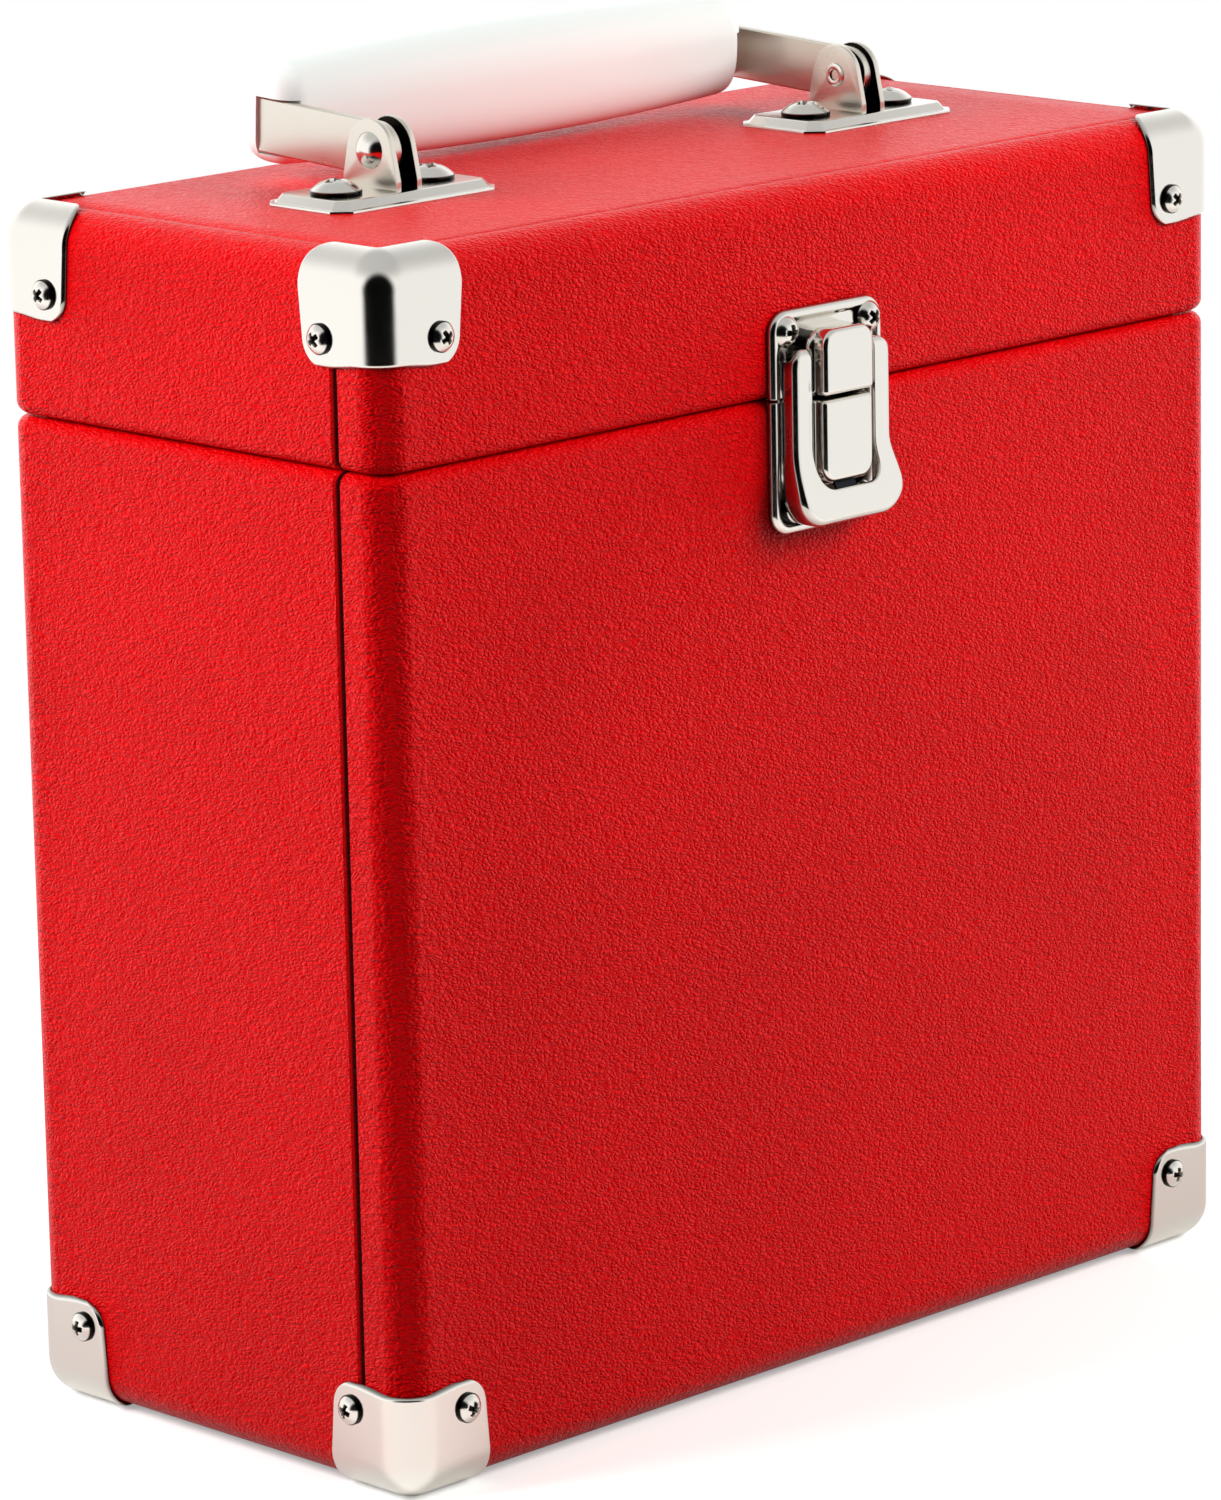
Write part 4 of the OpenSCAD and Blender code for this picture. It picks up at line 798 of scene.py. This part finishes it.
def hasp_grid():
    """Half of the hasp's skin, x > 0, from the top of the arm to the middle of the bill. Rows follow an
    outer and an inner line of the U, matched station by station; columns run from the rear edge of the
    side flange, round the shoulder and across the face to the window. A point at height u lies on the
    bowed face line, or on the knuckle circle where u is above the pin, and is sunk along its normal. The
    arms are crowned: raised by 0.2 mm x sin^2 (pi v) at v across the face, fading out towards both ends."""
    arm = np.linspace(PIN_UP + 2.7, -BOW_TOP, 40)
    ease = np.linspace(0, 1, 14)[1:]
    swing = np.radians(np.linspace(0, 90, 11))[1:]
    along = np.linspace(1, 0, 9)[1:]
    nose = np.clip((arm - arm[0]) / 4.2 + 1, 0, 1)
    nose = 1 - np.sqrt(np.maximum(1 - nose**2, 0))

    def u_line(arm_x, side_x, half_w, foot, corner):
        """Half of a U from its free end to its middle: the arm at arm_x, a side that eases from the bow
        to the bill at side_x, a quarter circle of radius corner, and a straight foot."""
        x = [arm_x, side_x, half_w - corner * (1 - np.cos(swing)), (half_w - corner) * along]
        u = [arm, -BOW_TOP + (BOW_TOP - foot + corner) * ease, -foot + corner * (1 - np.sin(swing))]
        return np.concatenate(x), np.concatenate([*u, np.full(len(along), -foot)])

    side = ARM_HALF_W + (BILL_HALF_W - ARM_HALF_W) * smooth(ease)
    outer_x, outer_u = u_line(ARM_HALF_W - 2.2 * nose, side, BILL_HALF_W, BILL_FOOT, BILL_ROUND)
    side = np.full(len(ease), ARM_INNER)
    inner_x, inner_u = u_line(ARM_INNER + 0.6 * nose**2, side, ARM_INNER, WINDOW_FOOT, WINDOW_ROUND)
    bill = smooth((-outer_u - BOW_TOP) / (BOW_FOOT - BOW_TOP))
    face = ARM_OUT + (BILL_OUT - ARM_OUT) * bill
    flange = face - (1.9 + (BILL_BACK - 1.9) * bill)
    flange = np.where(outer_u > PIN_UP, np.minimum(flange, KNUCKLE_R - 0.05), flange)
    soft = 1.25 + 0.45 * bill
    quarter = np.radians(np.linspace(0, 90, 8))
    inset = np.concatenate([np.zeros((4, len(face))), soft * (1 - np.cos(quarter))[:, None]])
    sink = np.concatenate([
        soft + (flange - soft) * np.linspace(1, 0, 5)[:4, None], soft * (1 - np.sin(quarter))[:, None]])
    width = np.hypot(outer_x - inner_x, outer_u - inner_u)
    shares = np.concatenate([inset / width, np.linspace(soft / width, 1 - 0.35 / width, 9)[1:]])
    crown = 0.2 * (1 - bill) * smooth((PIN_UP - 0.5 - outer_u) / 4)
    sink = np.concatenate([sink, -crown * np.sin(np.linspace(0, 1, 9)[1:, None] * math.pi) ** 2])
    lip = np.array([[0.13, 0.03], [0.04, 0.14], [0.0, 0.35], [0.0, 0.7]])
    shares = np.concatenate([shares, 1 - lip[:, :1] / width])
    sink = np.concatenate([sink, lip[:, 1:] + np.zeros(len(face))])
    x = outer_x + shares * (inner_x - outer_x)
    u = outer_u + shares * (inner_u - outer_u)
    rise = smooth((-u - BOW_TOP) / (BOW_FOOT - BOW_TOP))
    turn = np.clip(u - PIN_UP, 0, None) / KNUCKLE_R
    up = np.where(u > PIN_UP, PIN_UP + (KNUCKLE_R - sink) * np.sin(turn), u)
    curl = PIN_OUT + (KNUCKLE_R - sink) * np.cos(turn)
    out = np.where(u > PIN_UP, curl, ARM_OUT + (BILL_OUT - ARM_OUT) * rise - sink)
    # painted shade: the side flange and shoulder are darkened, fading across the face, most towards the arm
    # tops
    flank = np.clip(1.3 - 0.12 * np.arange(len(shares)), 0, 1)[:, None]
    top = np.concatenate([np.clip((arm - PIN_UP + 2.5) / 2.5, 0, 1), np.zeros(len(face) - len(arm))])
    painted_shade = flank * (0.5 + 0.45 * top)
    return np.stack([x, up, out], axis=-1).transpose(1, 0, 2), painted_shade.T


pin = turned([(0, -9.4), (0.75, -9.4), (0.85, -9.3), (0.85, 9.3), (0.75, 9.4), (0, 9.4)], 40)
pin = {"place": set_in(set_in(pin, (0, PIN_UP, PIN_OUT), (0, 0, 1), (1, 0, 0)), *latch_at), "closed": True}
place_piece("latch_hasp_pin_wire", [pin], "lid", nickel, "latch_hasp_pin")
half, painted_shade = hasp_grid()
knuckle = turned([(0.95, 0), (1.5, 0), (1.7, 0.15), (1.7, 1.1), (1.5, 1.25), (0.95, 1.25), (0.95, 0)], 40)
halves, knuckles = [], []
for s in (1, -1):
    halves.append({"place": set_in(half * (s, 1, 1), *latch_at), "flip": s > 0, "crease": painted_shade})
    tube = set_in(knuckle, (s * ARM_INNER + s * 0.25, PIN_UP, PIN_OUT), (0, 0, 1), (s, 0, 0))
    knuckles.append({"place": set_in(tube, *latch_at), "closed": True})
shell = grid_mesh("latch_hasp", halves, 50)
thicken(place_piece("latch_hasp_shell", shell, "hasp", nickel, "latch_hasp"), 0.75)
place_piece("latch_hasp_knuckles", knuckles, "hasp", nickel, None)

# ---------------------------------------------------------------- handle
# Two octagonal plates embossed from 0.7 mm steel, each with a pair of ears pushed up through slots.
# A flat steel strap, bent to a U, turns on a semi-tubular rivet in each pair. Its crossbar runs
# through a moulded white grip whose ends are notched for the strap's arms.

PLATE_L, PLATE_W, PLATE_CUT, PLATE_H = 39.0, 20.8, 2.9, 1.9
PIVOT_Z = 222.2
EAR_R, EAR_FOOT, EAR_SHOULDER, EAR_T = 5.5, 6.7, 3.4, 1.15
EARS_HALF_W = 3.0
RIVET_HEAD_R, RIVET_BALL = 3.25, 3.8344
STRAP_X, STRAP_T, STRAP_W, STRAP_BEND, STRAP_REACH = 59.8, 1.8, 9.6, 1.9, 30.6
STRAP_EDGE_R = 0.35
HANDLE_TILT = math.radians(3.3)
handle_at = ((0, HANDLE_Y, PIVOT_Z), (1, 0, 0), (0, -math.sin(HANDLE_TILT), math.cos(HANDLE_TILT)))

# strap steel: cold-rolled strip, nickel plated but not buffed, so it has fine lines along the strip
strip_steel, add = new_material("plated_strip_steel")
spot = add("TexCoord").outputs["Object"]
drawn = add("Mapping", {"Vector": spot, "Scale": (1.0, 0.06, 1.0)})
lines = add("TexNoise", {"Vector": drawn, "Scale": 5200, "Detail": 2})
haze = add("TexNoise", {"Vector": spot, "Scale": 90, "Detail": 3})
blend = add("Math", {0: lines, 1: 0.35, 2: haze}, operation="MULTIPLY_ADD")
polish = add("MapRange", {"Value": blend, "To Min": 0.2, "To Max": 0.34})
brush = add("Bump", {"Height": lines, "Strength": 0.15, "Distance": 0.00004})
recess = add("Attribute", attribute_name="crease").outputs["Fac"]
# painted shade: the steel colour runs to near black as the crease value rises to 1
steel = add("ValToRGB", {"Fac": recess}, ((0.0, "#DDD5C9"), (1.0, "#16130F")))
metal = {"Base Color": steel, "Metallic": 1.0, "Roughness": polish, "Normal": brush}
shader = add("BsdfPrincipled", metal)
add("OutputMaterial", {"Surface": shader})

half_l, half_w, cut = PLATE_L / 2, PLATE_W / 2, PLATE_CUT
flat_l, flat_w = half_l - cut, half_w - cut
octagon = [(-flat_l, -half_w), (flat_l, -half_w), (half_l, -flat_w), (half_l, flat_w),
           (flat_l, half_w), (-flat_l, half_w), (-half_l, flat_w), (-half_l, -flat_w)]
emboss = [(0, 0.02), (0, 0.36), (0.05, 0.46), (0.14, 0.5), (0.75, 0.5), (0.95, 0.56), (1.15, 0.72),
          (2.0, 1.66), (2.2, 1.82), (2.45, 1.89), (2.8, PLATE_H)]
pivot_up = PIVOT_Z - TOP_Z
reach = math.hypot(EAR_FOOT, pivot_up - EAR_SHOULDER)
lean = math.atan2(EAR_SHOULDER - pivot_up, EAR_FOOT) + math.acos(EAR_R / reach)
apex = pivot_up + EAR_R / math.sin(lean)
ear_corners = [
    (-EAR_FOOT, 1.3), (EAR_FOOT, 1.3), (EAR_FOOT, EAR_SHOULDER), (0, apex), (-EAR_FOOT, EAR_SHOULDER)]
ear_profile = [(0.18, 0), (0.05, 0.06), (0, 0.2), (0, EAR_T - 0.2), (0.05, EAR_T - 0.06), (0.18, EAR_T)]
ear = carried(ear_corners, (0.15, 0.15, 2.2, EAR_R, 2.2), ear_profile, 14)
dome_radii = RIVET_HEAD_R * np.sin(np.linspace(1, 0, 13) * math.pi / 2)
dome_heights = EARS_HALF_W + 1.8 - RIVET_BALL + np.sqrt(RIVET_BALL**2 - dome_radii**2)
hollow = [(0, -1.2), (0.96, -1.2), (0.96, -3.1), (1.05, -3.35), (1.35, -3.48), (1.8, -3.45), (2.1, -3.3),
          (2.2, -3.05), (2.15, -3.0), (1.55, -3.0), (1.55, 3.0), (3.2, 3.0), (RIVET_HEAD_R, 3.05)]
rivet = turned(hollow + list(zip(dome_radii, dome_heights)), 48)
octagon_plate = carried(octagon, [0.7] * 8, emboss, 5)
# painted shade: the hollow bore of each rivet is marked dark
bore = (np.hypot(rivet[..., 0], rivet[..., 1]) < 1) & (rivet[..., 2] < 0)
for name, s in (("left", -1), ("right", 1)):
    x = s * HANDLE_X
    node = f"handle_plate_{name}"
    plate = grid_mesh(node, [solid(set_in(octagon_plate, (x, HANDLE_Y, TOP_Z), *top))], 30)
    place_piece(node + "_press", plate, "lid", nickel, node)
    slabs = []
    for aside, inner in ((-EARS_HALF_W, -1), (EARS_HALF_W - EAR_T, 0)):
        # painted shade: each ear's face toward the gap between the pair is marked dark
        painted_shade = np.zeros(ear.shape[:2])
        painted_shade[:, inner] = 1
        slabs.append(solid(set_in(ear, (x + aside, HANDLE_Y, TOP_Z), (0, 1, 0), (1, 0, 0)), crease=painted_shade))
    node = f"handle_ears_{name}"
    place_piece(node + "_pair", slabs, "lid", strip_steel, node)
    place = set_in(rivet, (x, HANDLE_Y, PIVOT_Z), (0, 1, 0), (s, 0, 0))
    node = f"handle_rivet_{name}"
    shank = {"place": place, "closed": True, "crease": bore.astype(float)}
    place_piece(node + "_turned", [shank], "lid", nickel, node)


def strap_grid():
    """Strip of STRAP_W x STRAP_T along a U: up one arm, round a quarter circle, along the crossbar and
    back. Each row is a rounded oblong round the path; towards the free ends its width follows a circle
    about the rivet, width = 2 sqrt(R^2 - y^2)."""
    mid, far = STRAP_X - STRAP_T / 2, STRAP_REACH
    radius = STRAP_BEND - STRAP_T / 2
    end = -STRAP_W / 2 * np.cos(np.linspace(0.0, math.pi / 2, 16))
    arm = np.concatenate([end, spaced(0, far - radius, 3)[1:]])
    swing = np.radians(np.linspace(0, 90, 11))[1:]
    bend = mid - radius * (1 - np.cos(swing))
    x = np.concatenate([np.full(len(arm), mid), bend, spaced(mid - radius, 0, 4)[1:]])
    y = np.concatenate([arm, far - radius * (1 - np.sin(swing)), np.full(len(x) - len(arm) - 10, far)])
    x, y = np.concatenate([x, -x[-2::-1]]), np.concatenate([y, y[-2::-1]])
    run = np.stack([np.gradient(x), np.gradient(y)], axis=1)
    run /= np.linalg.norm(run, axis=1)[:, None]
    run[y < 0] = (0, 1)
    run[: len(run) // 2][y[: len(run) // 2] < far - radius - 0.01] = (0, 1)
    run[len(run) // 2 :][y[len(run) // 2 :] < far - radius - 0.01] = (0, -1)
    beside = np.stack([run[:, 1], -run[:, 0]], axis=1)
    high = np.where(y < 0, np.sqrt(np.maximum((STRAP_W / 2) ** 2 - y * y, 0)), STRAP_W / 2)
    angle = np.radians(np.arange(4)[:, None] * 90 + np.linspace(0, 90, 5)[None, :]).reshape(-1)
    sx = np.repeat([1, -1, -1, 1], 5)
    sz = np.repeat([1, 1, -1, -1], 5)
    soft = np.minimum(STRAP_EDGE_R, high)[:, None]
    thick = sx * (STRAP_T / 2 - STRAP_EDGE_R) + STRAP_EDGE_R * np.cos(angle)
    wide = sz * np.maximum(high[:, None] - STRAP_EDGE_R, 0) + soft * np.sin(angle)
    place = np.zeros((len(x), len(angle) + 1, 3))
    thick, wide = np.append(thick, thick[0]), np.concatenate([wide, wide[:, :1]], axis=1)
    place[..., 0] = x[:, None] + beside[:, :1] * thick
    place[..., 1] = y[:, None] + beside[:, 1:] * thick
    place[..., 2] = wide
    return place


strap = {"place": set_in(strap_grid(), *handle_at)}
place_piece("handle_strap_strip", [strap], "handle", strip_steel, "handle_strap")

# grip plastic: injection-moulded white polystyrene, glossy, very slightly uneven from the mould
GRIP_LEFT, GRIP_RIGHT = -60.4, 54.4
GRIP_W, GRIP_H, GRIP_TAPER, GRIP_END_R = 18.8, 22.0, 3.4, 4.5
GRIP_BACK, GRIP_UP = 2.0, 2.2
NOTCH_DEPTH, NOTCH_PLAY, GRIP_EDGE = 3.0, 0.3, 0.5
grip_plastic, add = new_material("white_moulded_plastic")
spot = add("TexCoord").outputs["Object"]
uneven = add("TexNoise", {"Vector": spot, "Scale": 55, "Detail": 2})
gloss = add("MapRange", {"Value": uneven, "To Min": 0.2, "To Max": 0.3})
sink = add("Bump", {"Height": uneven, "Strength": 0.05, "Distance": 0.0004})
# painted light: the white is tinted faintly green-blue to offset the red light that the leatherette bounces
# on to the grip
shader = add(
    "BsdfPrincipled",
    {"Base Color": hex_colour("#F1F6F4"), "Roughness": gloss, "Subsurface Weight": 0.12,
     "Subsurface Radius": (0.004, 0.004, 0.004), "Subsurface Scale": 1.0, "Normal": sink},
)
add("OutputMaterial", {"Surface": shader})


def grip_grid():
    """Barrel along X. Section: superellipse |y/a|^n + |z/b|^n = 1 with n = 2.6. Both half-axes shrink by
    half the taper times (x / flat)^2, and by an end rounding r (1 - cos a) as x gains r sin a."""
    flat = (GRIP_RIGHT - GRIP_LEFT) / 2 - GRIP_END_R
    a = np.radians(np.linspace(0, 90, 11))
    end_x, end_cut = flat + GRIP_END_R * np.sin(a), GRIP_TAPER / 2 + GRIP_END_R * (1 - np.cos(a))
    middle = flat * np.linspace(-1, 1, 49)[1:-1]
    x = np.concatenate([-end_x[::-1], middle, end_x])
    shrink = np.concatenate([end_cut[::-1], GRIP_TAPER / 2 * (middle / flat) ** 2, end_cut])
    angle = np.linspace(0, 2 * math.pi, 73)
    c, s = np.cos(angle), np.sin(angle)
    power = 2 / 2.6
    y = (GRIP_W / 2 - shrink)[:, None] * np.sign(c) * np.abs(c) ** power
    z = (GRIP_H / 2 - shrink)[:, None] * np.sign(s) * np.abs(s) ** power
    x = np.broadcast_to((x + (GRIP_LEFT + GRIP_RIGHT) / 2)[:, None], y.shape)
    return np.stack([x, y + STRAP_REACH - GRIP_BACK, z + GRIP_UP], axis=-1)


barrel = grip_grid()
grids = [{"place": barrel, "flip": True}]
for row in (0, -1):
    edge = barrel[row]
    centre = np.broadcast_to(edge.mean(axis=0), edge.shape)
    grids.append({"place": np.stack([edge, centre], axis=1), "flip": row == 0})
for grid in grids:
    grid["place"] = set_in(grid["place"], *handle_at)
blank = bpy.data.objects.new("grip_blank", grid_mesh("grip_blank", grids, 45))
cutters = bpy.data.objects.new("grip_cutters", bpy.data.meshes.new("grip_cutters"))
slot_half = STRAP_W / 2 + NOTCH_PLAY
strap_back = STRAP_REACH + STRAP_T / 2
box_faces = np.array([(0, 1, 3, 2), (4, 6, 7, 5), (0, 4, 5, 1), (2, 3, 7, 6), (0, 2, 6, 4), (1, 5, 7, 3)])
corners, quads = [], []
for low_x, high_x, back_y in (
    (GRIP_LEFT - 2, GRIP_LEFT + NOTCH_DEPTH, strap_back - STRAP_BEND),
    (GRIP_RIGHT - NOTCH_DEPTH, GRIP_RIGHT + 2, strap_back + 0.06),
):
    ends = (low_x, high_x), (5.0, back_y), (-slot_half, slot_half)
    box = np.stack(np.meshgrid(*ends, indexing="ij"), axis=-1).reshape(-1, 3)
    quads += (box_faces + len(corners)).tolist()
    corners += (set_in(box, *handle_at) * MM).tolist()
cutters.data.from_pydata(corners, [], quads)
for item in (blank, cutters):
    scene.collection.objects.link(item)
carve = blank.modifiers.new("notches", "BOOLEAN")
carve.operation = "DIFFERENCE"
carve.solver = "EXACT"
carve.object = cutters
bpy.context.view_layer.update()
notched = bpy.data.meshes.new_from_object(blank.evaluated_get(bpy.context.evaluated_depsgraph_get()))
notched.set_sharp_from_angle(angle=math.radians(45))
for item in (blank, cutters):
    bpy.data.objects.remove(item)
grip = place_piece("handle_grip_moulding", notched, "handle", grip_plastic, "handle_grip")
round_edges(grip, GRIP_EDGE, 3, 50)

# ---------------------------------------------------------------- rear hinges
# Plain butt hinges of plated steel: two leaves cut from 0.9 mm sheet, rolled into three knuckles
# round a headless pin, and screwed to the back of body and lid.

HINGE_W, LEAF_H, LEAF_T, BARREL_R, BARREL_OUT = 28.0, 16.0, 0.9, 2.2, 2.35
leaf_profile = [(0, 0.05), (0, 0.65), (0.08, 0.82), (0.25, LEAF_T)]
tongue_profile = [(0, 0.15), (0, 0.8), (0.1, LEAF_T)]
third = HINGE_W / 6


def oblong(start, end, low, high):
    """Corners of an oblong between two places and two heights, counter-clockwise."""
    return [(start, low), (end, low), (end, high), (start, high)]


for name, s in (("left", -1), ("right", 1)):
    hinge_at = ((s * HINGE_X, BACK_Y, SEAM_Z), (-1, 0, 0), (0, 1, 0))
    for part, up, body, spans in (
        ("body", -1, "case_body", ((-HINGE_W / 2, -third - 0.25), (third + 0.25, HINGE_W / 2))),
        ("lid", 1, "lid", ((-third, third),)),
    ):
        radii = (1.2, 1.2, 0.2, 0.2) if up < 0 else (0.2, 0.2, 1.2, 1.2)
        outline = oblong(-HINGE_W / 2, HINGE_W / 2, *sorted((up * 2.5, up * LEAF_H)))
        grids = [solid(carried(outline, radii, leaf_profile))]
        for start, end in spans:
            outline = oblong(start, end, *sorted((up * 0.3, up * 2.7)))
            grids.append(solid(carried(outline, [0.15] * 4, tongue_profile)))
            half_tube = [(1.15, 0.6), (1.15, 0.05), (1.3, 0), (2.0, 0), (BARREL_R, 0.2)]
            length = end - start
            tube = turned(half_tube + [(r, length - z) for r, z in half_tube[:0:-1]] + [(1.15, 0.6)], 40)
            place = set_in(tube, (start, 0, BARREL_OUT), (0, 0, -1), (1, 0, 0))
            grids.append({"place": place, "closed": True})
        for grid in grids:
            grid["place"] = set_in(grid["place"], *hinge_at)
        node = f"hinge_{part}_leaf_{name}"
        place_piece(node + "_sheet", grids, body, nickel, node)

# ---------------------------------------------------------------- pins and spring
# The hinge pins are drawn steel wire, cut square, and plated with the rest. The catch spring is a
# leaf of blued spring steel, riveted inside the bill, where it hooks behind the foot of the keeper.

# blued steel: heated until a dark oxide skin forms, so nearly black with a faint streaky sheen
spring_steel, add = new_material("blued_spring_steel")
spot = add("TexCoord").outputs["Object"]
streak = add("TexNoise", {"Vector": spot, "Scale": 900, "Detail": 3})
polish = add("MapRange", {"Value": streak, "To Min": 0.26, "To Max": 0.4})
blued = {"Base Color": hex_colour("#26272B"), "Metallic": 1.0, "Roughness": polish}
add("OutputMaterial", {"Surface": add("BsdfPrincipled", blued)})
dress(spring_steel, ["latch_catch_spring"])
dress(strip_steel, ["hinge_pin_left", "hinge_pin_right"])
